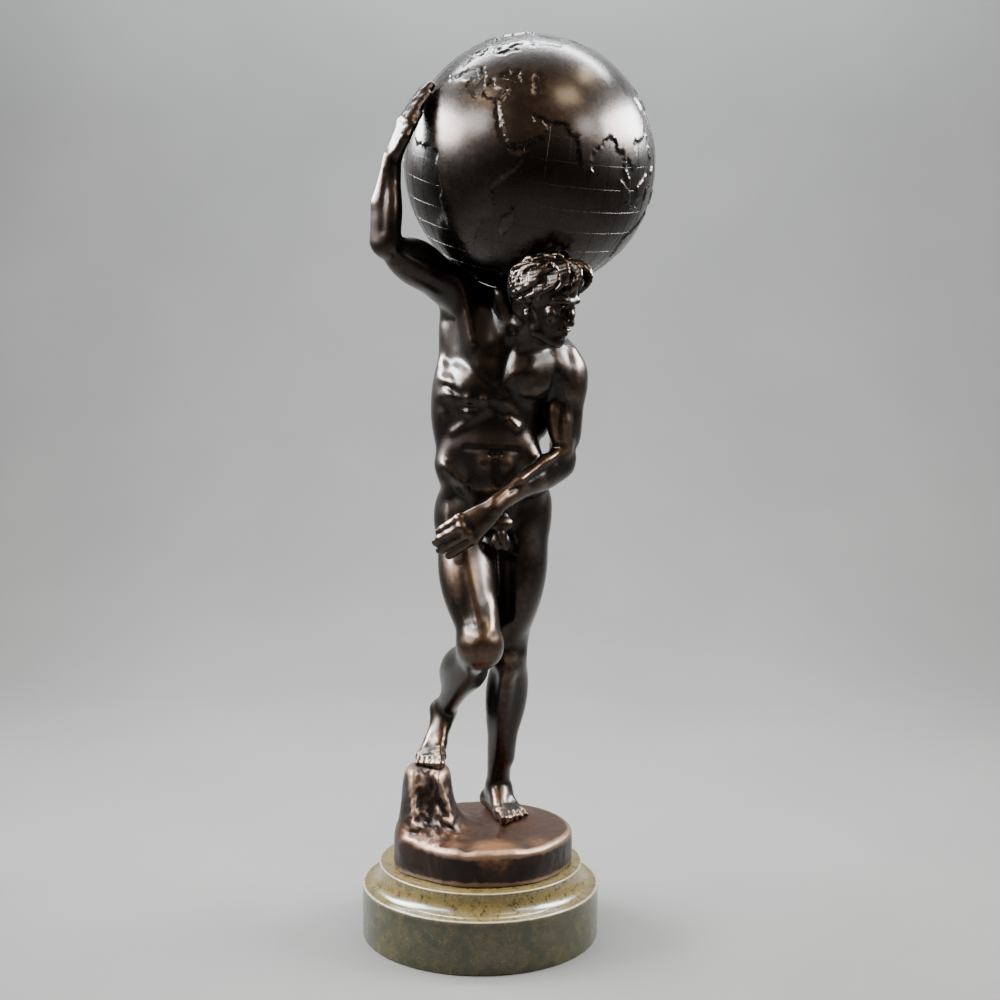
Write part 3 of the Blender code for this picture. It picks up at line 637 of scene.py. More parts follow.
# head
head = {
    "centre": (56, -66, 587), "reach": 0.047,
    "forward": (0.74, -0.58, -0.34),
    "up": (0.22, -0.22, 0.95),
    "locks": 74,
    "seed": 11,
    "tufts": [(-16, 25, 12), (-6, 31, 12), (5, 33, 13), (14, 28, 14)],
    "curls": [(-16, -18, 24, 6), (-22, -2, 18, 5)],
}


def headPlace():
    forward = Vector(head["forward"]).normalized()
    up = Vector(head["up"])
    up = (up - forward * up.dot(forward)).normalized()
    side = up.cross(forward)
    centre = Vector(head["centre"])

    # place in head coordinates: sideways to the man's left, forward, up
    def place(s, f, u):
        return tuple(centre + side * s + forward * f + up * u)

    return place, np.array(side), np.array(forward), np.array(up)


def modelHead():
    print("modelling the head")
    at, side, forward, up = headPlace()
    centre, reach = np.array(head["centre"]) * mm, head["reach"]
    clay = Clay(centre - reach, centre + reach, man["headStep"] * mm)
    press, cut = clay.press, clay.cut

    # a cord through head coordinates, on the side that s names
    def draw(places, radii, soft, s=1, cut=False):
        cord(clay, [at(x * s, f, u) for x, f, u in places], radii, soft, cut)

    # skull, face and chin
    press(lump(at(0, -4, 7), forward, side, (28, 22.5, 24)), 4)
    press(lump(at(0, 8, -10), up, side, (25, 17, 17)), 5)
    press(lump(at(0, 12, -22), up, side, (15, 13, 14)), 5)
    press(ball(at(0, 22, -32), 5.5), 4)
    for s in (-1, 1):
        # jaw, cheek and brow
        draw([(16, -4, -18), (13, 6, -29), (4, 20, -34)], [4.5, 4.5, 4.5], 5, s)
        press(lump(at(13.5 * s, 17, -10), at(1, 0, 0), up, (6.5, 5, 5)), 3)
        draw([(3, 23.4, 1.6), (8.5, 23.2, 3.8), (15, 17.6, 1.8)], [2.2, 2.2, 1.8], 5, s)
        # eye: socket, ball and lids
        cut(lump(at(8.8 * s, 26, -4), side, up, (6, 4.0, 5)), 4)
        press(ball(at(8.6 * s, 17.9, -4.2), 5), 1.2)
        draw([(3.8, 21.8, -4.8), (8.6, 23.2, -1.8), (13.2, 19.8, -4.4)], [0.8, 1.0, 0.8], 1.4, s)
        draw([(3.8, 21.8, -5.4), (8.6, 22.3, -7.2), (13, 19.6, -5)], [0.7, 0.8, 0.7], 1.4, s)
        # wing of the nose
        press(ball(at(3.4 * s, 27.5, -15.2), 2.3), 1.4)
        cut(ball(at(2.0 * s, 29.6, -17.8), 1.1), 0.8)
        # ear: rim, fold and lobe
        rim = [(22.5, -2, 1), (24.5, -6, 4), (24.5, -9.5, 0), (23, -7.5, -7), (21, -3.5, -10)]
        draw(rim, [1.4, 1.6, 1.6, 1.5, 2.0], 0.8, s)
        press(lump(at(21.5 * s, -5.5, -3), up, forward, (7, 4, 2)), 1.5)
    # ridge of the nose, lips, mouth and the hollow over the chin
    draw([(0, 23.2, 2.5), (0, 27.6, -7), (0, 30.4, -14)], [2.3, 2.4, 3.0], 3.5)
    lip = [(-6.2, 24.6, -22.2), (-2, 28.2, -20.6), (0, 28.4, -21.2), (2, 28.2, -20.6), (6.2, 24.6, -22.2)]
    draw(lip, [1.0, 1.7, 1.6, 1.7, 1.0], 1)
    draw([(-5.4, 24.6, -23.6), (0, 27.4, -24.6), (5.4, 24.6, -23.6)], [1.1, 2.2, 1.1], 1)
    draw([(-6.6, 26, -22.6), (0, 29.8, -22.7), (6.6, 26, -22.6)], [0.45, 0.5, 0.45], 0.5, cut=True)
    cut(rod(at(-4, 29, -28), at(4, 29, -28), 1.6), 2)
    modelHair(clay, at, side, forward, up)
    cutGlobe(clay, 0.6)
    return clay.skin("head")


# wavy locks, each a bundle of strands that sweeps away from the crown
def modelHair(clay, at, side, forward, up):
    chance = np.random.default_rng(head["seed"])
    clay.press(lump(at(0, -6, 9), forward, side, (29, 25, 25)), 2)
    clay.press(lump(at(0, -15, -8), up, side, (22, 21, 16)), 4)

    # a row of head coordinates, drawn as strands that close at the tip
    def lock(path, width):
        count = len(path) - 1
        for strand in (-1.0, -0.35, 0.35, 1.0):
            places, radii = [], []
            for step, (s, f, u) in enumerate(path):
                share = step / count
                spread = strand * width * (1 - 0.8 * share ** 2)
                twist = 0.6 * math.sin(share * 5 + strand)
                places.append(at(s + spread * 0.25, f + spread * 0.75 + twist, u + spread * 0.45))
                radii.append(width * (0.52 - 0.3 * share ** 2))
            cord(clay, places, radii, 0.9)

    golden = math.pi * (3 - math.sqrt(5))
    total = head["locks"]
    for index in range(total):
        rise = 1 - 1.5 * (index + 0.5) / total
        turn = index * golden
        ring = math.sqrt(max(0, 1 - rise * rise))
        s, f = ring * math.sin(turn), ring * math.cos(turn)
        # the face stays clear
        if f > 0.42 and rise < 0.60 or f > 0.05 and rise < 0.0:
            continue
        d = np.array([s, f, rise])
        flow = np.array([s * 0.5, f * 0.5 - 0.35, 0.1]) - np.array([0, 0, 1.15]) * ring
        flow /= np.linalg.norm(flow)
        cross = np.cross(flow, d)
        length, sway = 22 + 8 * chance.random(), 0.5 + 0.3 * chance.random()
        path = []
        for step in range(8):
            share = step / 7
            wave = math.sin(share * 7.0 + index) * sway * 0.14
            q = d + flow * length * share / 27 + cross * wave
            q /= np.linalg.norm(q)
            lift = 1.03 + 0.05 * math.sin(math.pi * share) + 0.05 * share ** 3
            path.append((q[0] * 25 * lift, -6 + q[1] * 29 * lift, 8 + q[2] * 25.5 * lift))
        lock(path, 3.4 + 0.9 * chance.random())
    # tufts that hang forward over the brow, and a round curl above the temple
    for s, reach, drop in head["tufts"]:
        path = []
        for step in range(8):
            share = step / 7
            bow = math.sin(math.pi * share)
            aside = s * (0.75 + 0.4 * share) + 2 * bow * math.sin(s + 5 * share)
            f = 6 + (reach - 6) * math.sin(share * 1.9) - 4 * share ** 4
            path.append((aside, f, 33 - (33 - drop) * share ** 2.2))
        lock(path, 4.4)
    for s, f, u, radius in head["curls"]:
        ring = []
        for step in range(9):
            angle = math.radians(-60 + 45 * step)
            size = radius * (1 - 0.07 * step)
            ring.append(at(s, f + size * math.cos(angle), u + size * math.sin(angle)))
        cord(clay, ring, [2.4] * 9, 0.8)


# ground
ground = {
    "radius": 81.0, "shift": 3.5, "base": 68.1, "top": 101.0, "step": 1.3, "rim": 0.0045, "faces": 120000,
    "low": (-0.092, -0.088, 0.060), "high": (0.090, 0.088, 0.172),
}


def modelGround():
    print("modelling the ground")
    step = ground["step"]
    clay = Clay(ground["low"], ground["high"], step * mm)
    x, y, z = np.ix_(*clay.axes)
    x = x - ground["shift"] * mm
    angle = np.arctan2(y, x)
    sway = 1.0 + 0.008 * np.sin(3 * angle + 0.6) + 0.006 * np.sin(7 * angle + 2.0)
    rim = ground["rim"]
    out = np.sqrt(x * x + y * y) - (ground["radius"] * mm - rim) * sway
    dome = z - (ground["top"] * mm - rim) + 0.3 * (x * x + y * y)
    wall = np.sqrt(np.maximum(out, 0) ** 2 + np.maximum(dome, 0) ** 2)
    wall = wall + np.minimum(np.maximum(out, dome), 0)
    clay.field = np.broadcast_to(wall - rim, clay.field.shape).astype(np.float32)
    # stub of rock: a column that spreads at its foot, narrower toward the top
    x = x + ground["shift"] * mm
    up = np.clip((z / mm - ground["top"]) / (rock["top"] - ground["top"]), -0.2, 1.2)
    foot = np.exp(-np.clip(up, 0, 1.2) * 4.2)
    sides = []
    for low, high, flare in (rock["left"], rock["right"], rock["front"], rock["back"]):
        sides.append((low + (high - low) * up + flare * foot) * mm)
    left, right, front, back = sides
    across = (x - (left + right) / 2) / ((right - left) / 2)
    depth = (y - (front + back) / 2) / ((back - front) / 2)
    column = ((across ** 2) ** 1.25 + (depth ** 2) ** 1.25) ** 0.4 - 1
    column = column * 0.024
    crown = z - rock["top"] * mm
    column = -softMin(-column, -crown.astype(np.float32), 0.012)
    clay.field = softMin(clay.field, column.astype(np.float32), 0.009)
    clay.press(lump((24, 26, 98.5), (0, 0, 1), (1, 0, 0), (5, 26, 34)), 5)
    drawStrokes(clay, gouges)
    clay.field += rough(x, y, z)
    clay.field = np.maximum(clay.field, ground["base"] * mm - z)
    return clay.skin("ground")


# tool marks: folded sine waves, strong on the front of the rock, faint elsewhere
def rough(x, y, z):
    u = x * 230 + 1.5 * np.sin(z * 110 + 1) + 1.1 * np.sin(y * 140)
    v = y * 210 + 1.4 * np.sin(x * 130 + 2) + 1.2 * np.sin(z * 120)
    w = z * 150 + 1.6 * np.sin(y * 110 + 4) + 1.2 * np.sin(x * 160)
    fold = np.abs(np.sin(u) * np.sin(v + 1.2)) + np.abs(np.sin(w + u * 0.5))
    fine = np.abs(np.sin(1.9 * u + w) * np.sin(1.8 * w - v))
    front = np.clip((-0.012 - y) / 0.012, 0, 1) * np.clip((x + 0.070) / 0.010, 0, 1)
    chipped = np.clip((z - 0.100) / 0.008, 0, 1) * np.clip((-0.004 - x) / 0.02, 0, 1) * front
    level = 0.00018 + 0.0009 * chipped
    return (level * (fold - 0.8) + 0.8 * level * (fine - 0.4)).astype(np.float32)


# edges of the rock at its foot and at its top, and how far the foot spreads
rock = {
    "top": 158.5, "left": (-76, -71, -2), "right": (-26, -29, 18),
    "front": (-38, -27, -14), "back": (26, 16, 8),
}
gouges = [
    ([(-48, -32, 153), (-45, -38, 130), (-48, -44, 113)], 6, -3.4),
    ([(-63, -24, 154), (-62, -32, 135), (-59, -42, 115), (-42, -58, 105), (-20, -68, 102)], 5, 2.6),
    ([(-37, -24, 152), (-31, -26, 134), (-27, -30, 116)], 5, 2.2),
    ([(-56, -36, 140), (-54, -42, 126)], 3, -1.8), ([(-36, -34, 128), (-36, -44, 112)], 3.5, -1.8),
    ([(-30, -52, 104), (-8, -62, 101)], 6, -2.0), ([(-4, -72, 101), (30, -70, 100)], 7, 1.8),
    ([(30, -40, 101), (50, -20, 101)], 12, -0.9), ([(0, -30, 101)], 14, -1.0),
    ([(10, -80, 84), (26, -78, 78)], 9, -0.9), ([(-30, -76, 80)], 9, -0.8), ([(50, -66, 80)], 8, 0.7),
]


# coasts of the common world map: longitude and latitude in turn, in degrees
coasts = {
    "oldWorld": [
        -9.5, 38.8, -9, 37, -6.5, 36.8, -6, 35.8, -7.5, 33.7, -9.8, 31.5, -10, 29.5, -13, 27.8, -16, 24,
        -17, 21, -16.3, 19, -16.5, 16, -17.5, 14.7, -16.7, 12.5, -15, 10.8, -13.3, 9, -11, 6.5, -7.5, 4.4,
        -4, 5, -1.5, 4.9, 2, 6.2, 4.5, 5.8, 6, 4.3, 8.7, 4.2, 9.6, 3, 9.5, 0.5, 8.8, -1.2, 11, -4, 12.2, -6.5,
        13.2, -9, 13.7, -12.2, 12.4, -16, 13.6, -20, 14.6, -22.8, 15.5, -27, 17.2, -30, 18.3, -33, 20, -34.8,
        23.5, -34.8, 26, -34, 29, -32.6, 31.5, -30, 32.8, -27.5, 33.2, -25.4, 35.3, -23.6, 35.3, -21.6,
        34.6, -20, 36.5, -18.5, 40, -16.3, 40.6, -12.5, 39.8, -9.2, 39.4, -6.8, 38.9, -5.2, 40.6, -2.6,
        43.5, 0.3, 46.5, 2.8, 48.8, 5.5, 50.2, 8.6, 51.3, 11.8, 48, 11.2, 44.8, 10.5, 43, 11.5, 41.8, 13,
        39, 16, 36.8, 19, 35.2, 22.5, 33.2, 27, 31.5, 30.5, 32.8, 30.5, 34.6, 27, 36.9, 22.5, 38.8, 19,
        40.9, 16, 43.3, 13, 46.9, 13.8, 50.3, 15, 52.3, 16.3, 55.2, 17.5, 57.6, 19.5, 58.8, 22, 58, 23.6,
        56.4, 24.4, 55.6, 25.6, 53.6, 24.6, 52, 25.4, 51, 27.2, 52.2, 28, 53.6, 26.8, 55.4, 26.9, 57.4, 26,
        59.5, 25.3, 62, 25.7, 65.5, 26, 67.2, 25.4, 68, 23.8, 69.2, 22.2, 70.5, 21, 72, 21.3, 72.8, 19.3,
        73.6, 15.9, 75, 12, 76.6, 8.8, 77.9, 7.8, 79.3, 9.4, 80.1, 11.8, 80.2, 14.5, 82.2, 16.4, 85.2, 18.6,
        86.8, 20.8, 88.3, 21.8, 90.3, 22.4, 92.2, 21.6, 94, 19.2, 94.4, 16.6, 96, 16.6, 97.6, 16.8, 98.4, 14,
        98.7, 11, 98.4, 8.6, 100.2, 6.2, 101.4, 3.2, 103.4, 1.5, 104.2, 2.6, 103.4, 5, 101.6, 7, 100.1, 9,
        99.6, 11.6, 100.4, 13.3, 101.8, 12.6, 103.6, 10.8, 104.9, 8.8, 106.8, 10.4, 109.1, 12, 108.8, 15.4,
        106.6, 18, 105.9, 19.6, 108, 21.5, 110.2, 21.2, 113.6, 22.3, 117, 23.8, 119.6, 26, 121.6, 28.6,
        121.8, 31, 119.4, 34.8, 122.4, 37, 118.4, 38.6, 121.4, 40.6, 125, 39.6, 126.4, 34.6, 129.2, 35.6,
        128, 39.6, 131, 42.8, 136, 45, 140.4, 50, 138, 54, 143, 59.2, 155, 59.3, 157, 57, 156.6, 51.2,
        161, 55, 165, 60, 178, 63, 179.9, 66, 179.9, 69, 165, 70, 150, 71.6, 130, 71.5, 113, 74, 100, 77,
        86, 74.8, 73, 72, 68, 68.6, 55, 68.6, 44, 67.5, 38, 64.5, 34, 66.8, 40, 68, 30, 70, 22, 70.6,
        14, 67.5, 10.5, 64, 5.2, 61.5, 5.6, 59, 8, 58.1, 10.6, 59.3, 12.8, 56, 9.8, 57.5, 8.2, 56.5, 8.6, 54,
        4.5, 52.6, 2, 51, -1.2, 49.6, -4.6, 48.4, -1.4, 46, -1.5, 43.6, -8.2, 43.7, -9.2, 42,
    ],
    "mediterranean": [
        -5.2, 36.1, -2, 36.9, 0, 38.8, 3, 42, 4, 43.3, 7, 43.6, 9, 44.4, 10.5, 42.8, 12.5, 41.5, 15.5, 40,
        16, 38, 17, 39, 17, 40.4, 18.5, 40.2, 15, 42, 12.8, 44, 12.5, 45.5, 13.8, 45.2, 16, 43.5, 19.3, 41.8,
        19.6, 40, 21.3, 37, 23, 36.5, 24, 38, 23, 40.3, 26, 40.8, 26.6, 39, 27.5, 37, 30.5, 36.6, 32.5, 36.1,
        36, 36.8, 35.6, 34, 34.3, 31.4, 32, 31.2, 29, 30.9, 25, 31.7, 22.5, 32.8, 20, 32.4, 19.6, 30.5,
        17.5, 30.9, 15.2, 32.3, 11.2, 33.4, 10.4, 34.6, 10.8, 36.8, 9.5, 37.3, 5, 36.8, 0, 35.9, -3, 35.2,
    ],
    "blackSea": [
        27.8, 42, 28.6, 44, 30.8, 46.5, 33, 46, 33.6, 44.6, 35.6, 45.2, 37, 47, 39.2, 47, 37.8, 45,
        39.5, 43.6, 41.4, 42.3, 41, 41.1, 36, 41.6, 33, 42, 31, 41.3,
    ],
    "caspian": [
        46.6, 45, 48, 47, 52.6, 47.4, 53.2, 45.6, 51.2, 44.6, 50.4, 42.6, 52.6, 40.4, 53.4, 37.4, 52, 35.6,
        49.4, 36.2, 48.2, 38.6, 49.4, 40.6, 47.8, 42.6,
    ],
    "baltic": [
        14, 54.4, 18.5, 54.7, 21, 55.6, 21.4, 57.3, 24.2, 58.6, 29.6, 60, 24, 60.2, 21.4, 61, 21.6, 63,
        24.8, 65.2, 21.6, 65, 17.4, 61, 18.4, 59.8, 16.6, 57, 14.4, 55.8,
    ],
    "sicily": [12.8, 37.9, 15.2, 38, 14.8, 36.9],
    "crete": [23.8, 35.4, 26, 35.2, 24.8, 34.8],
    "cyprus": [32.4, 35, 34.2, 35.4, 33.4, 34.7],
    "britain": [-5.4, 50.2, 1.2, 51, 0.2, 54, -2, 57, -4.6, 58.5, -5.4, 55, -3.4, 53.4],
    "ireland": [-9.6, 52, -6.2, 52.4, -6, 54.6, -9.6, 54.2],
    "iceland": [-22, 64, -16, 63.8, -14, 65.6, -20, 66.3, -23.6, 65.6],
    "greenland": [-45, 60, -54, 70, -68, 78, -35, 83, -20, 76, -25, 69],
    "madagascar": [43.6, -22, 44.2, -25, 46.2, -25.4, 48.4, -22, 50, -16, 49.2, -12.2, 47.6, -15, 44.6, -17],
    "ceylon": [79.9, 9, 81.8, 7.2, 80.6, 5.8],
    "sumatra": [95.4, 5.6, 98.4, 1.8, 101.6, -2.6, 105.4, -6, 106, -3, 103.6, 0.4, 100, 2.6],
    "java": [105.4, -6.9, 108.6, -6.6, 114.2, -7.7, 114, -8.8, 108.6, -8],
    "borneo": [
        109, 1.6, 111.4, 2.6, 115.4, 5.4, 117.2, 7, 119.2, 5, 117.6, 1, 116, -4, 111.4, -3.4, 110, -1.2,
    ],
    "celebes": [119.6, 0.4, 125, 1.6, 121, 0, 122.8, -4.6, 119.6, -5.6],
    "luzon": [120.2, 16, 120.6, 18.6, 122.2, 18.4, 121.6, 15.4, 124, 12.8, 120.8, 13.8],
    "mindanao": [122, 7.2, 125.6, 9.8, 126.4, 7, 125, 5.8],
    "formosa": [120.1, 23, 121.6, 25.2, 121, 22],
    "newGuinea": [131, -1, 134.4, -3.4, 138, -1.8, 144, -4, 150.4, -10.4, 143, -8.8, 138, -8.2, 133, -4],
    "japan": [
        130, 31.4, 131, 34, 136, 35.6, 140, 38, 140, 41.6, 141.6, 45.2, 145, 43.4, 142, 39.4, 140.8, 35.6,
        136.6, 34, 132, 33,
    ],
    "australia": [
        113.8, -22.4, 115.2, -34, 118, -35, 124, -33, 131.4, -31.5, 135.4, -34.8, 138, -33.4, 140.4, -38,
        146.4, -39, 150, -37, 153.4, -29, 149, -20.6, 145.4, -15, 142.4, -10.8, 140.8, -17.4, 136.4, -12.2,
        131, -11.6, 127, -14, 122, -18, 117, -20.8,
    ],
    "tasmania": [144.8, -41, 148.2, -41, 146.8, -43.5],
    "newZealand": [167, -46, 170.6, -46, 173.6, -42, 177.8, -38.6, 173, -34.8, 174.4, -39, 171, -42.6],
    "northAmerica": [
        -166, 66, -156, 71, -125, 70, -95, 72, -82, 68, -94, 59, -82, 55, -80, 52, -78, 61, -65, 59, -56, 52,
        -66, 49.6, -61, 46, -66, 44, -71, 42, -74, 39.6, -76, 35.4, -81, 31.6, -80, 25.4, -83, 29.6,
        -90, 29.4, -97, 27, -97.4, 22, -94.4, 18.2, -90.4, 21, -87, 21.4, -88.4, 16, -83.6, 15, -83, 10,
        -78, 9, -80.4, 7.4, -86, 11, -94, 16, -105, 20, -109, 26, -113.6, 31, -110, 23, -115, 30, -121, 35,
        -124, 40.6, -124, 48, -132, 56, -141, 60, -152, 60, -160, 55.6, -158, 58.8, -165, 61,
    ],
    "cuba": [-84.6, 22, -80, 23, -74.4, 20.2, -78, 20],
    "southAmerica": [
        -79.4, 9.2, -75.6, 10.8, -71.8, 12.2, -62, 10.6, -57, 6, -50, 1, -44, -2.6, -37.4, -4.8, -34.8, -7.6,
        -38.8, -13, -39.8, -19.6, -44, -23, -48.6, -26, -51, -31, -56.6, -36.6, -62, -39, -65.4, -43,
        -67.4, -48, -68.6, -54, -74.6, -51, -74, -42, -71.6, -33, -70.2, -19, -76, -13.8, -81, -5.4,
        -79.8, -2, -77.4, 4, -77.8, 8,
    ],
}
coasts = {name: np.reshape(row, (-1, 2)) for name, row in coasts.items()}


def globeTurn():
    face = Matrix.Rotation(-math.pi / 2 - math.radians(globe["facing"]), 4, "Z")
    tip = Matrix.Rotation(math.radians(globe["tip"]), 4, "X")
    roll = Matrix.Rotation(math.radians(globe["roll"]), 4, "Y")
    return Matrix.Translation(globe["centre"]) @ roll @ tip @ face


def directions(lon, lat):
    lon, lat = np.radians(lon), np.radians(lat)
    return np.stack([np.cos(lat) * np.cos(lon), np.cos(lat) * np.sin(lon), np.sin(lat)], -1)


def unit(vectors):
    return vectors / np.linalg.norm(vectors, axis=-1, keepdims=True)


# even-odd test of many places against one closed coast
def inside(lon, lat, coast):
    odd = np.zeros(len(lon), bool)
    for (lonA, latA), (lonB, latB) in zip(coast, np.roll(coast, -1, 0)):
        if latA == latB:
            continue
        crosses = (latA > lat) != (latB > lat)
        odd ^= crosses & (lon < (lonB - lonA) * (lat - latA) / (latB - latA) + lonA)
    return odd


def isLand(places):
    lon = np.degrees(np.arctan2(places[:, 1], places[:, 0]))
    lat = np.degrees(np.arcsin(np.clip(places[:, 2], -1, 1)))
    dry = np.zeros(len(places), bool)
    for coast in coasts.values():
        dry ^= inside(lon, lat, coast)
    return dry | (lat < -70)


# pairs of directions on either side of a coast
def shoreRows(coast):
    corners = directions(*coast.T)
    rows = []
    for a, b in zip(corners, np.roll(corners, -1, 0)):
        angle = math.degrees(math.acos(min(1, float(a @ b))))
        pieces = max(1, round(angle / globe["shoreSpacing"]))
        share = ((np.arange(pieces) + 0.5) / pieces)[:, None]
        middle = unit(a * (1 - share) + b * share)
        for width in globe["shoreWidths"]:
            across = unit(np.cross(a, b)) * math.radians(width)
            rows += [unit(middle + across), unit(middle - across)]
    return np.concatenate(rows)


def modelGlobe():
    print("modelling the globe")
    shores = np.concatenate([shoreRows(coast) for coast in coasts.values()])
    total = globe["fillers"]
    index = np.arange(total)
    z = 1 - (2 * index + 1) / total
    turn = index * math.pi * (3 - math.sqrt(5))
    spiral = np.stack([np.sqrt(1 - z * z) * np.cos(turn), np.sqrt(1 - z * z) * np.sin(turn), z], -1)
    nearest = np.concatenate([np.max(part @ shores.T, 1) for part in np.array_split(spiral, 40)])
    spiral = spiral[nearest < math.cos(math.radians(globe["fillerGap"]))]
    places = np.concatenate([shores, spiral])
    dry = isLand(places)
    bm = bmesh.new()
    for place in places:
        bm.verts.new(place)
    bmesh.ops.convex_hull(bm, input=bm.verts)
    bm.verts.ensure_lookup_table()
    for vert, land in zip(bm.verts, dry):
        vert.co *= globe["radius"] + globe["landRise"] * bool(land)
    bm.transform(globeTurn())
    bmesh.ops.recalc_face_normals(bm, faces=bm.faces)
    mesh = bpy.data.meshes.new("globe")
    bm.to_mesh(mesh)
    bm.free()
    return mesh


# edges of the meridians and parallels where they cross the seas
def lineEdges():
    step = globe["lineStep"]
    runs = []
    for lat in range(-80, 90, globe["lineSpacing"]):
        lon = np.arange(0, 360 + step, step)
        runs.append(directions(lon, np.full(len(lon), float(lat))))
    for lon in range(0, 360, globe["lineSpacing"]):
        lat = np.arange(-80, 80 + step, step)
        runs.append(directions(np.full(len(lat), float(lon)), lat))
    places, edges = [], []
    for run in runs:
        wet = ~isLand(run)
        for a in range(len(run) - 1):
            if wet[a] and wet[a + 1]:
                edges.append((len(places) + a, len(places) + a + 1))
        places += list(run)
    mesh = bpy.data.meshes.new("lines")
    mesh.from_pydata([tuple(place * globe["radius"]) for place in places], edges, [])
    mesh.transform(globeTurn())
    return mesh


# node group that turns edges into thin raised wires
def wireTree():
    tree = bpy.data.node_groups.new("raised lines", "GeometryNodeTree")
    tree.is_modifier = True
    face = tree.interface
    face.new_socket("Geometry", in_out="INPUT", socket_type="NodeSocketGeometry")
    radius = face.new_socket("Radius", in_out="INPUT", socket_type="NodeSocketFloat")
    sides = face.new_socket("Sides", in_out="INPUT", socket_type="NodeSocketInt")
    metal = face.new_socket("Metal", in_out="INPUT", socket_type="NodeSocketMaterial")
    face.new_socket("Geometry", in_out="OUTPUT", socket_type="NodeSocketGeometry")
    names = [
        "NodeGroupInput", "GeometryNodeMeshToCurve", "GeometryNodeCurvePrimitiveCircle",
        "GeometryNodeCurveToMesh", "GeometryNodeRealizeInstances", "GeometryNodeSetMaterial",
        "NodeGroupOutput",
    ]
    start, toCurve, ring, toMesh, realize, paint, end = [tree.nodes.new(name) for name in names]
    for column, node in enumerate(tree.nodes):
        node.location = (column * 200, 0)
    toMesh.inputs["Fill Caps"].default_value = True
    links = [
        (start, "Geometry", toCurve, "Mesh"), (start, "Radius", ring, "Radius"),
        (start, "Sides", ring, "Resolution"), (toCurve, "Curve", toMesh, "Curve"),
        (ring, "Curve", toMesh, "Profile Curve"), (toMesh, "Mesh", realize, "Geometry"),
        (realize, "Geometry", paint, "Geometry"), (start, "Metal", paint, "Material"),
        (paint, "Geometry", end, "Geometry"),
    ]
    for source, output, target, entry in links:
        tree.links.new(source.outputs[output], target.inputs[entry])
    return tree, {"radius": radius.identifier, "sides": sides.identifier, "metal": metal.identifier}


def modelLines(metal):
    print("drawing the lines over the seas")
    obj = bpy.data.objects.new("lines", lineEdges())
    bpy.context.scene.collection.objects.link(obj)
    tree, sockets = wireTree()
    wires = obj.modifiers.new("wires", "NODES")
    wires.node_group = tree
    wires[sockets["radius"]] = globe["lineRadius"]
    wires[sockets["sides"]] = globe["lineSides"]
    wires[sockets["metal"]] = metal
    view = bpy.context.evaluated_depsgraph_get()
    made = bpy.data.meshes.new_from_object(obj.evaluated_get(view))
    made.name = "lines"
    bpy.data.objects.remove(obj)
    return made


# socle
socle = {
    "radius": 110.0, "height": 67.8, "drum": 48.27, "step": 94.27, "round": 1.6,
    "lip": 3.0, "stepEdge": 3.2, "turns": 160,
}


# arc of a profile from one place to another, bulging out or hollow
def arc(start, end, bulge, pieces=8):
    start, end = np.array(start, float), np.array(end, float)
    across = np.array([end[1] - start[1], start[0] - end[0]])
    share = np.linspace(0, 1, pieces + 1)[1:-1, None]
    return list(start + (end - start) * share + across * bulge * np.sin(math.pi * share))


def modelSocle():
    print("turning the socle")
    r, h, drum, step, edge = (socle[key] for key in ("radius", "height", "drum", "step", "round"))
    outline = [(0, 0), (r - edge, 0), *arc((r - edge, 0), (r, edge), 0.2), (r, edge)]
    outline += [(r, z) for z in np.linspace(edge + 6, drum - 1.8, 6)]
    outline += [(r, drum - 0.8), *arc((r, drum - 0.8), (r - 0.8, drum), 0.2), (r - 0.8, drum)]
    # quarter hollow that rises from the lip to the edge of the step
    out, top = r - edge - socle["lip"], h - socle["stepEdge"]
    for angle in np.radians(np.linspace(0, 90, 19)):
        outline.append((out - math.sin(angle) * (out - step), top - math.cos(angle) * (top - drum)))
    outline += [(step, h - 1.6), (step, h - 0.8), *arc((step, h - 0.8), (step - 0.8, h), 0.2)]
    outline += [(step - 0.8, h), (step - 1.8, h), (step * 0.6, h), (0, h)]
    bm = bmesh.new()
    row = [bm.verts.new((x * mm, 0, z * mm)) for x, z in outline]
    edges = [bm.edges.new(pair) for pair in zip(row, row[1:])]
    bmesh.ops.spin(
        bm, geom=row + edges, cent=(0, 0, 0), axis=(0, 0, 1), angle=math.tau,
        steps=socle["turns"], use_merge=True,
    )
    bmesh.ops.remove_doubles(bm, verts=bm.verts, dist=1e-6)
    bmesh.ops.recalc_face_normals(bm, faces=bm.faces)
    mesh = bpy.data.meshes.new("socle")
    bm.to_mesh(mesh)
    bm.free()
    # the rims of the drum and the step, marked for a painted highlight in the marble
    corners = [(r, drum), (step, h)]
    values = []
    for vert in mesh.vertices:
        x, z = math.hypot(vert.co.x, vert.co.y) / mm, vert.co.z / mm
        values.append(float(min(math.hypot(x - a, z - b) for a, b in corners) < 1.0))
    mesh.attributes.new("ridge", "FLOAT", "POINT").data.foreach_set("value", values)
    return mesh


# pieces
collection = bpy.data.collections.new("pieces")
bpy.context.scene.collection.children.link(collection)


def addPiece(name, mesh, material, node):
    obj = bpy.data.objects.new(name, mesh)
    collection.objects.link(obj)
    mesh.materials.clear()
    mesh.materials.append(material)
    mesh.shade_smooth()
    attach(obj, "root")
    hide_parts(node)
    return obj


# relax and thin a skin with modifiers, then keep it as a plain mesh
def finishSkin(mesh, name, relax, most):
    obj = bpy.data.objects.new(name, mesh)
    bpy.context.scene.collection.objects.link(obj)
    ease = obj.modifiers.new("ease", "SMOOTH")
    ease.factor = 0.5
    ease.iterations = relax
    faces = len(mesh.polygons) * 2
    if faces > most:
        thin = obj.modifiers.new("thin", "DECIMATE")
        thin.ratio = most / faces
        thin.use_collapse_triangulate = True
    view = bpy.context.evaluated_depsgraph_get()
    made = bpy.data.meshes.new_from_object(obj.evaluated_get(view))
    made.name = name
    bpy.data.objects.remove(obj)
    return made


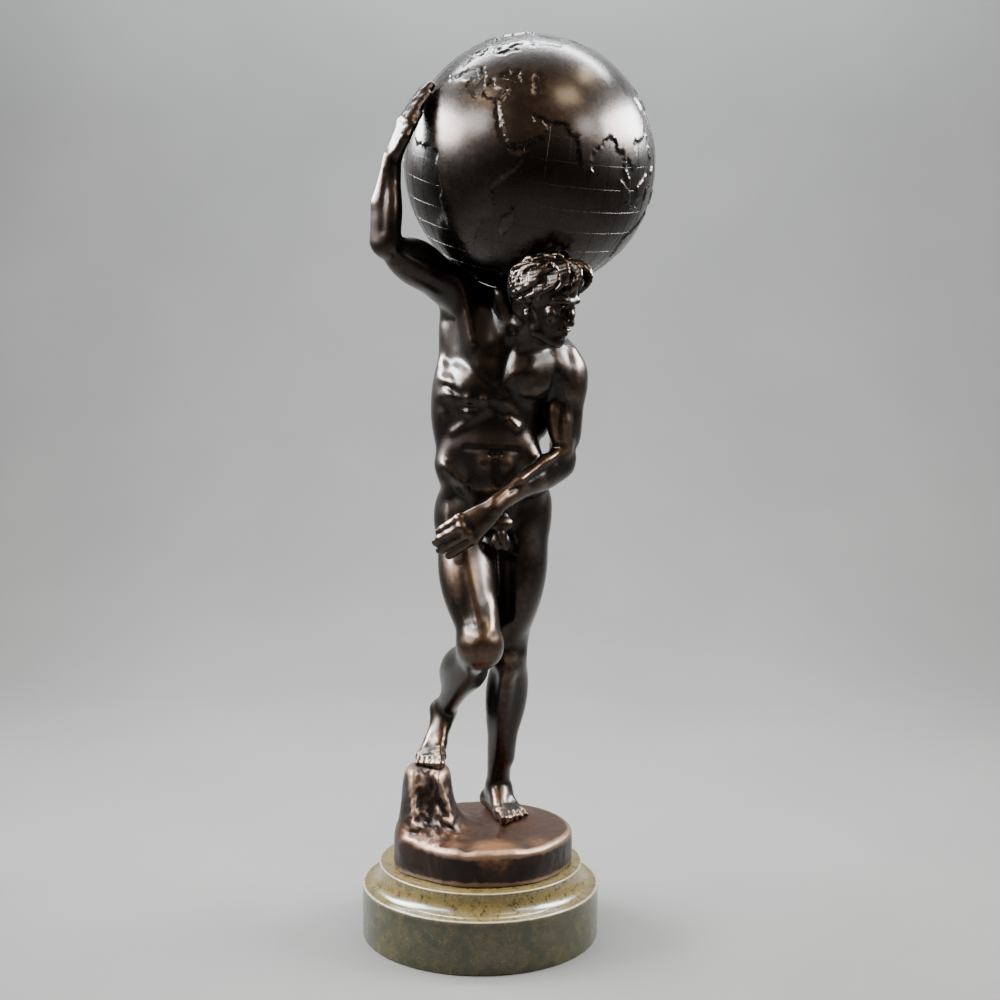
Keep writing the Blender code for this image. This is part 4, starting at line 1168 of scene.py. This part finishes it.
# materials
# a shader socket that can be added, multiplied and mixed like a number
class Wire:
    def __init__(self, look, socket):
        self.look = look
        self.socket = socket

    def maths(self, operation, *values):
        return self.look.node("ShaderNodeMath", {"operation": operation}, values)

    def __add__(self, other):
        return self.maths("ADD", self, other)

    def __sub__(self, other):
        return self.maths("SUBTRACT", self, other)

    def __mul__(self, other):
        return self.maths("MULTIPLY", self, other)

    def __radd__(self, other):
        return self.maths("ADD", other, self)

    def __rsub__(self, other):
        return self.maths("SUBTRACT", other, self)

    def __rmul__(self, other):
        return self.maths("MULTIPLY", other, self)

    # 0 below low, 1 above high, soft between
    def step(self, low, high):
        inputs = {"Value": self, "From Min": low, "From Max": high}
        return self.look.node("ShaderNodeMapRange", {"interpolation_type": "SMOOTHSTEP"}, inputs)

    def clamp(self):
        return self.look.node("ShaderNodeClamp", {}, {"Value": self})


class Look:
    def __init__(self, name):
        self.material = bpy.data.materials.new(name)
        self.material.use_nodes = True
        self.tree = self.material.node_tree
        self.shader = self.tree.nodes["Principled BSDF"]
        self.place = self.node("ShaderNodeTexCoord", output="Object")

    def node(self, kind, settings=None, inputs=(), output=0):
        made = self.tree.nodes.new(kind)
        for key, value in (settings or {}).items():
            setattr(made, key, value)
        for key, value in inputs.items() if isinstance(inputs, dict) else enumerate(inputs):
            self.feed(made.inputs[key], value)
        return Wire(self, made.outputs[output])

    def feed(self, socket, value):
        if isinstance(value, Wire):
            self.tree.links.new(value.socket, socket)
        else:
            socket.default_value = value

    def mix(self, a, b, share):
        a, b = [(*colour, 1) if isinstance(colour, tuple) else colour for colour in (a, b)]
        return self.node("ShaderNodeMix", {"data_type": "RGBA"}, {0: share, 6: a, 7: b}, 2)

    def noise(self, scale, detail, rough, twist=0.0):
        inputs = {
            "Vector": self.place, "Scale": scale, "Detail": detail, "Roughness": rough, "Distortion": twist,
        }
        return self.node("ShaderNodeTexNoise", {}, inputs)

    def cells(self, scale):
        return self.node("ShaderNodeTexVoronoi", {"feature": "F1"}, {"Vector": self.place, "Scale": scale})

    # value that markSurface left on the points
    def mark(self, name):
        return self.node("ShaderNodeAttribute", {"attribute_name": name}, output="Fac")

    def bump(self, height, depth):
        return self.node("ShaderNodeBump", {}, {"Height": height, "Distance": depth, "Strength": 1.0})

    def shade(self, inputs):
        for name, value in inputs.items():
            self.feed(self.shader.inputs[name], value)
        return self.material


bronzeLook = {
    "patina": (0.0060, 0.0042, 0.0030),
    "brown": (0.018, 0.0105, 0.0068),
    "worn": (0.160, 0.094, 0.055),
    "dirt": (0.005, 0.004, 0.003),
    "roughness": 0.34,
    "coat": 0.5,
    "coatRoughness": 0.24,
    "bumpDepth": 0.00012,
}


def bronzeMaterial(name, gloss, warmth):
    look = Look(name)
    ridge, hollow, touch = look.mark("ridge"), look.mark("hollow"), look.mark("touch")
    cloud = look.noise(34, 5, 0.6, 0.6)
    mottle = look.noise(160, 4, 0.6)
    grain = look.noise(900, 3, 0.6)
    tone = ((cloud - 0.5) * 1.6 + (mottle - 0.5) * 0.7 + 0.45 + warmth).clamp()
    colour = look.mix(bronzeLook["patina"], bronzeLook["brown"], tone)
    wear = (ridge * (0.45 + 0.8 * touch) + touch * 0.35 + (mottle - 0.5) * 0.5).step(0.28, 1.05)
    colour = look.mix(colour, bronzeLook["worn"], wear * 0.6)
    dirt = (hollow * 1.2 + (grain - 0.5) * 0.4).step(0.25, 0.95)
    colour = look.mix(colour, bronzeLook["dirt"], dirt * 0.8)
    rough = bronzeLook["roughness"] - gloss + (mottle - 0.5) * 0.14 + dirt * 0.25 - wear * 0.04
    height = look.noise(420, 5, 0.65) * 0.6 + look.noise(110, 3, 0.5) * 0.8 + grain * 0.15
    return look.shade({
        "Base Color": colour, "Metallic": 1.0, "Roughness": rough.clamp(),
        "Coat Weight": bronzeLook["coat"], "Coat Roughness": bronzeLook["coatRoughness"],
        "Normal": look.bump(height, bronzeLook["bumpDepth"]),
    })


# ground colours; top is painted light, a lighter and redder top face
groundLook = {
    "dark": (0.012, 0.008, 0.007), "light": (0.028, 0.017, 0.013), "top": (0.052, 0.022, 0.010),
    "rubbed": (0.34, 0.15, 0.06), "edge": (0.26, 0.17, 0.12), "roughness": 0.46, "coat": 0.22,
    "coatRoughness": 0.28, "bumpDepth": 0.0003,
}


def groundMaterial(name):
    look = Look(name)
    ridge, hollow, touch = look.mark("ridge"), look.mark("hollow"), look.mark("touch")
    cloud = look.noise(26, 5, 0.6, 0.8)
    mottle = look.noise(150, 4, 0.6)
    height = look.node("ShaderNodeSeparateXYZ", {}, (look.place,), 2)
    colour = look.mix(groundLook["dark"], groundLook["light"], cloud.step(0.3, 0.7))
    # painted light: the top face and the upper wall, lit from above, made lighter and redder than the rest
    top = height.step(0.092, 0.100) * (1 - height.step(0.103, 0.112))
    colour = look.mix(colour, groundLook["top"], top * 0.85)
    uneven = (mottle - 0.5) * 0.6
    colour = look.mix(colour, groundLook["rubbed"], (touch + uneven).step(0.3, 1.0) * 0.8)
    colour = look.mix(colour, groundLook["edge"], (ridge + uneven).step(0.35, 1.0) * 0.6)
    dirt = (hollow * 1.3 + (mottle - 0.5) * 0.5).step(0.2, 1.0)
    colour = look.mix(colour, bronzeLook["dirt"], dirt * 0.75)
    pits = look.cells(620).step(0.05, 0.45)
    relief = look.noise(300, 6, 0.7) * 1.2 + look.noise(90, 3, 0.5) * 1.5 + pits * 0.25
    rough = groundLook["roughness"] + (mottle - 0.5) * 0.2 + dirt * 0.2
    return look.shade({
        "Base Color": colour, "Metallic": 1.0, "Roughness": rough.clamp(),
        "Coat Weight": groundLook["coat"], "Coat Roughness": groundLook["coatRoughness"],
        "Normal": look.bump(relief, groundLook["bumpDepth"]),
    })


# marble colours; upper is painted light that makes all above the drum lighter and yellower, edge a painted
# highlight along the rims
marbleLook = {
    "dark": (0.011, 0.0125, 0.0042), "light": (0.033, 0.027, 0.0075), "blotch": (0.052, 0.036, 0.010),
    "upper": (0.135, 0.094, 0.030), "shade": (0.007, 0.010, 0.005), "fleck": (0.12, 0.11, 0.065),
    "speck": (0.010, 0.010, 0.007), "edge": (0.36, 0.33, 0.24), "roughness": 0.26, "coat": 0.3,
    "coatRoughness": 0.08, "bumpDepth": 0.00004,
}


def marbleMaterial(name):
    look = Look(name)
    cloud = look.noise(34, 6, 0.62, 1.0)
    blotch = look.noise(150, 5, 0.62, 0.4)
    fleck = look.noise(520, 3, 0.6)
    height = look.node("ShaderNodeSeparateXYZ", {}, (look.place,), 2)
    colour = look.mix(marbleLook["dark"], marbleLook["light"], cloud.step(0.34, 0.68))
    speck = look.noise(800, 2, 0.5).step(0.38, 0.28)
    layers = [
        # upper: painted light, the hollow and the step above the drum made lighter and yellower as if lit
        # from above
        ("blotch", blotch.step(0.44, 0.72), 0.5), ("upper", height.step(0.044, 0.050), 0.55),
        ("shade", (blotch + (fleck - 0.5) * 0.7).step(0.47, 0.33), 0.8),
        ("fleck", fleck.step(0.62, 0.74), 0.4), ("speck", speck, 0.8),
        # edge: painted highlight, a pale line along the rounded rims of the drum and the step
        ("edge", look.mark("ridge").step(0.5, 1.0), 0.45),
    ]
    for key, share, most in layers:
        colour = look.mix(colour, marbleLook[key], share * most)
    rough = marbleLook["roughness"] + (blotch - 0.5) * 0.14
    return look.shade({
        "Base Color": colour, "Roughness": rough.clamp(), "Coat Weight": marbleLook["coat"],
        "Coat Roughness": marbleLook["coatRoughness"],
        "Normal": look.bump(fleck + blotch, marbleLook["bumpDepth"]),
    })


# how far the surface is eased to find its ridges, and the rise that counts as a full one
marks = {"rounds": 14, "scale": 0.0005}


# marks on the points of a mesh: ridges, hollows and places rubbed by hands
def markSurface(mesh, rubbed):
    count = len(mesh.vertices)
    places, normals = np.empty(count * 3, np.float32), np.empty(count * 3, np.float32)
    mesh.vertices.foreach_get("co", places)
    mesh.vertex_normals.foreach_get("vector", normals)
    places, normals = places.reshape(-1, 3), normals.reshape(-1, 3)
    ends = np.empty(len(mesh.edges) * 2, np.int32)
    mesh.edges.foreach_get("vertices", ends)
    a, b = ends.reshape(-1, 2).T
    degree = np.maximum(np.bincount(a, minlength=count) + np.bincount(b, minlength=count), 1)

    def averaged(values):
        return (np.bincount(a, values[b], count) + np.bincount(b, values[a], count)) / degree

    eased = places.astype(float)
    for _ in range(marks["rounds"]):
        eased = np.stack([averaged(eased[:, axis]) for axis in range(3)], 1)
    rise = ((places - eased) * normals).sum(1) / marks["scale"]
    for _ in range(2):
        rise = averaged(rise)
    touch = np.zeros(count)
    for centre, reach, share in rubbed:
        away = np.linalg.norm(places - np.array(centre) * mm, axis=1) / (reach * mm)
        touch = np.maximum(touch, share * np.exp(-away * away))
    for name, values in (("ridge", rise), ("hollow", -rise), ("touch", touch)):
        layer = mesh.attributes.new(name, "FLOAT", "POINT")
        layer.data.foreach_set("value", np.clip(values, 0, 1).astype(np.float32))


# places rubbed by hands on each marked piece: middle, reach and strength
rubbed = {
    "man": [
        ((62, -18, 470), 34, 0.5), ((30, -45, 425), 30, 0.4), ((-20, -58, 380), 26, 0.25),
        ((-12, -40, 335), 30, 0.3), ((4, -62, 285), 26, 0.3), ((25, 2, 258), 22, 0.3),
        ((-40, -5, 170), 26, 0.5), ((22, 0, 110), 30, 0.5),
    ],
    "head": [((66, -76, 608), 22, 0.5), ((40, -80, 606), 18, 0.6), ((52, -70, 614), 22, 0.5)],
    "ground": [((12, -64, 102), 26, 1.0), ((-22, -60, 104), 16, 0.7), ((52, -48, 101), 22, 0.6)],
    "worldGlobe": [],
}
print("mixing the materials")
bronze = bronzeMaterial("bronze", 0.0, 0.0)
globeBronze = bronzeMaterial("globeBronze", 0.06, 0.12)
groundBronze = groundMaterial("groundBronze")
marble = marbleMaterial("marble")

# name, maker, rounds of easing and most faces of a skin, material, node and slot
parts = [
    ("man", modelMan, (2, man["faces"]), bronze, "figure", "bronze"),
    ("head", modelHead, (1, man["faces"]), bronze, "figure", "bronze"),
    ("ground", modelGround, (1, ground["faces"]), groundBronze, "figure", "bronze"),
    ("worldGlobe", modelGlobe, None, globeBronze, "globe", "globe_bronze"),
    ("worldLines", lambda: modelLines(globeBronze), None, globeBronze, "globe", "globe_bronze"),
    ("turnedSocle", modelSocle, None, marble, "socle", "marble"),
]
for name, make, skin, look, node, slotName in parts:
    mesh = make()
    if skin:
        mesh = finishSkin(mesh, name, *skin)
    if name in rubbed:
        markSurface(mesh, rubbed[name])
    piece = addPiece(name, mesh, look, node)
    print(piece.name, len(piece.data.polygons))


# camera, floor and light: lengths in metres, angles in degrees
view = {"place": (0.01551, -1.32, 0.51942), "down": 4.95, "roll": 0.46, "sensor": 36, "lens": 36 * 1.444}
cool, warm = (0.93, 0.97, 1.0), (1.0, 0.80, 0.56)
studio = {
    "paper": ((0.080, 0.078, 0.074), (0.088, 0.086, 0.081)),
    "half": 7, "front": -6.0, "bend": 0.9, "curve": 1.1, "top": 5.0, "steps": 24,
    "skyLow": (0.10, 0.10, 0.105, 1), "skyHigh": (0.62, 0.45, 0.31, 1), "skyBand": (0.02, 0.45),
    # soft boxes: bearing, height angle and distance from the globe, size, power, colour, spread
    "lights": {
        "left": (-97, 22, 1.6, (1.95, 0.55), 86, cool, 90),
        "right": (97, 23, 1.6, (1.5, 0.48), 54, cool, 90),
        "leftFill": (-52, 27, 1.7, (0.62, 0.46), 24, cool),
        "rightFill": (52, 24, 1.7, (0.40, 0.34), 9, cool),
        "ceiling": (43, 49, 1.6, (0.45, 0.35), 9, warm),
        "ceilingRight": (98, 58, 1.6, (0.55, 0.14), 5, warm),
        "ceilingLeft": (-55, 49, 1.6, (0.30, 0.20), 4, warm),
        "backdrop": (180, 62, 1.7, (2.4, 0.5), 270, (0.88, 0.94, 1.0), 180, (0, 2.0, 0.75)),
    },
}


def addCamera():
    lens = bpy.data.cameras.new("camera")
    lens.sensor_width = view["sensor"]
    lens.lens = view["lens"]
    camera = bpy.data.objects.new("camera", lens)
    bpy.context.scene.collection.objects.link(camera)
    tilt = Matrix.Rotation(math.radians(90 - view["down"]), 4, "X")
    roll = Matrix.Rotation(math.radians(view["roll"]), 4, "Z")
    camera.matrix_world = Matrix.Translation(view["place"]) @ tilt @ roll
    bpy.context.scene.camera = camera


# soft box around the globe, aimed at the man unless a target is given
def addLight(name, bearing, height, away, size, power, colour, spread=180, target=(0, 0, 0.5)):
    lamp = bpy.data.lights.new(name, "AREA")
    lamp.shape = "RECTANGLE"
    lamp.size, lamp.size_y = size
    lamp.energy = power
    lamp.color = colour
    lamp.spread = math.radians(spread)
    obj = bpy.data.objects.new(name, lamp)
    bpy.context.scene.collection.objects.link(obj)
    turn, rise = math.radians(bearing), math.radians(height)
    out = Vector((math.sin(turn) * math.cos(rise), -math.cos(turn) * math.cos(rise), math.sin(rise)))
    obj.location = globe["centre"] + out * away
    obj.rotation_euler = (Vector(target) - obj.location).to_track_quat("-Z", "Y").to_euler()


# floor that sweeps up into the backdrop, as one mesh
def addFloor():
    look = Look("paper")
    tone = look.mix(*studio["paper"], look.noise(3.0, 3, 0.5).step(0.3, 0.7))
    fibres = look.bump(look.noise(260, 3, 0.6), 0.0002)
    paper = look.shade({"Base Color": tone, "Roughness": 0.85, "Normal": fibres})
    bend, curve, half = studio["bend"], studio["curve"], studio["half"]
    sweep = []
    for step in range(studio["steps"] + 1):
        angle = math.radians(90 * step / studio["steps"])
        sweep.append((bend + curve * math.sin(angle), curve - curve * math.cos(angle)))
    rows = [(studio["front"], 0.0), *sweep, (bend + curve, studio["top"])]
    bm = bmesh.new()
    pairs = [[bm.verts.new((x, y, z)) for x in (-half, half)] for y, z in rows]
    for lower, upper in zip(pairs, pairs[1:]):
        bm.faces.new((lower[0], lower[1], upper[1], upper[0]))
    mesh = bpy.data.meshes.new("floor")
    bm.to_mesh(mesh)
    bm.free()
    mesh.shade_smooth()
    floor = bpy.data.objects.new("floor", mesh)
    mesh.materials.append(paper)
    bpy.context.scene.collection.objects.link(floor)


# room around the studio: grey below, warm above
def addSky():
    world = bpy.data.worlds.new("studio")
    bpy.context.scene.world = world
    world.use_nodes = True
    sky = world.node_tree
    kinds = ("ShaderNodeTexCoord", "ShaderNodeSeparateXYZ", "ShaderNodeMapRange", "ShaderNodeMix")
    way, split, height, glow = [sky.nodes.new(kind) for kind in kinds]
    height.interpolation_type = "SMOOTHSTEP"
    for key, value in zip(("From Min", "From Max"), studio["skyBand"]):
        height.inputs[key].default_value = value
    glow.data_type = "RGBA"
    glow.inputs[6].default_value = studio["skyLow"]
    glow.inputs[7].default_value = studio["skyHigh"]
    sky.links.new(way.outputs["Generated"], split.inputs[0])
    sky.links.new(split.outputs["Z"], height.inputs["Value"])
    sky.links.new(height.outputs[0], glow.inputs[0])
    sky.links.new(glow.outputs[2], sky.nodes["Background"].inputs["Color"])


print("placing the floor, light and camera")
addFloor()
addSky()
for name, values in studio["lights"].items():
    addLight(name, *values)
addCamera()
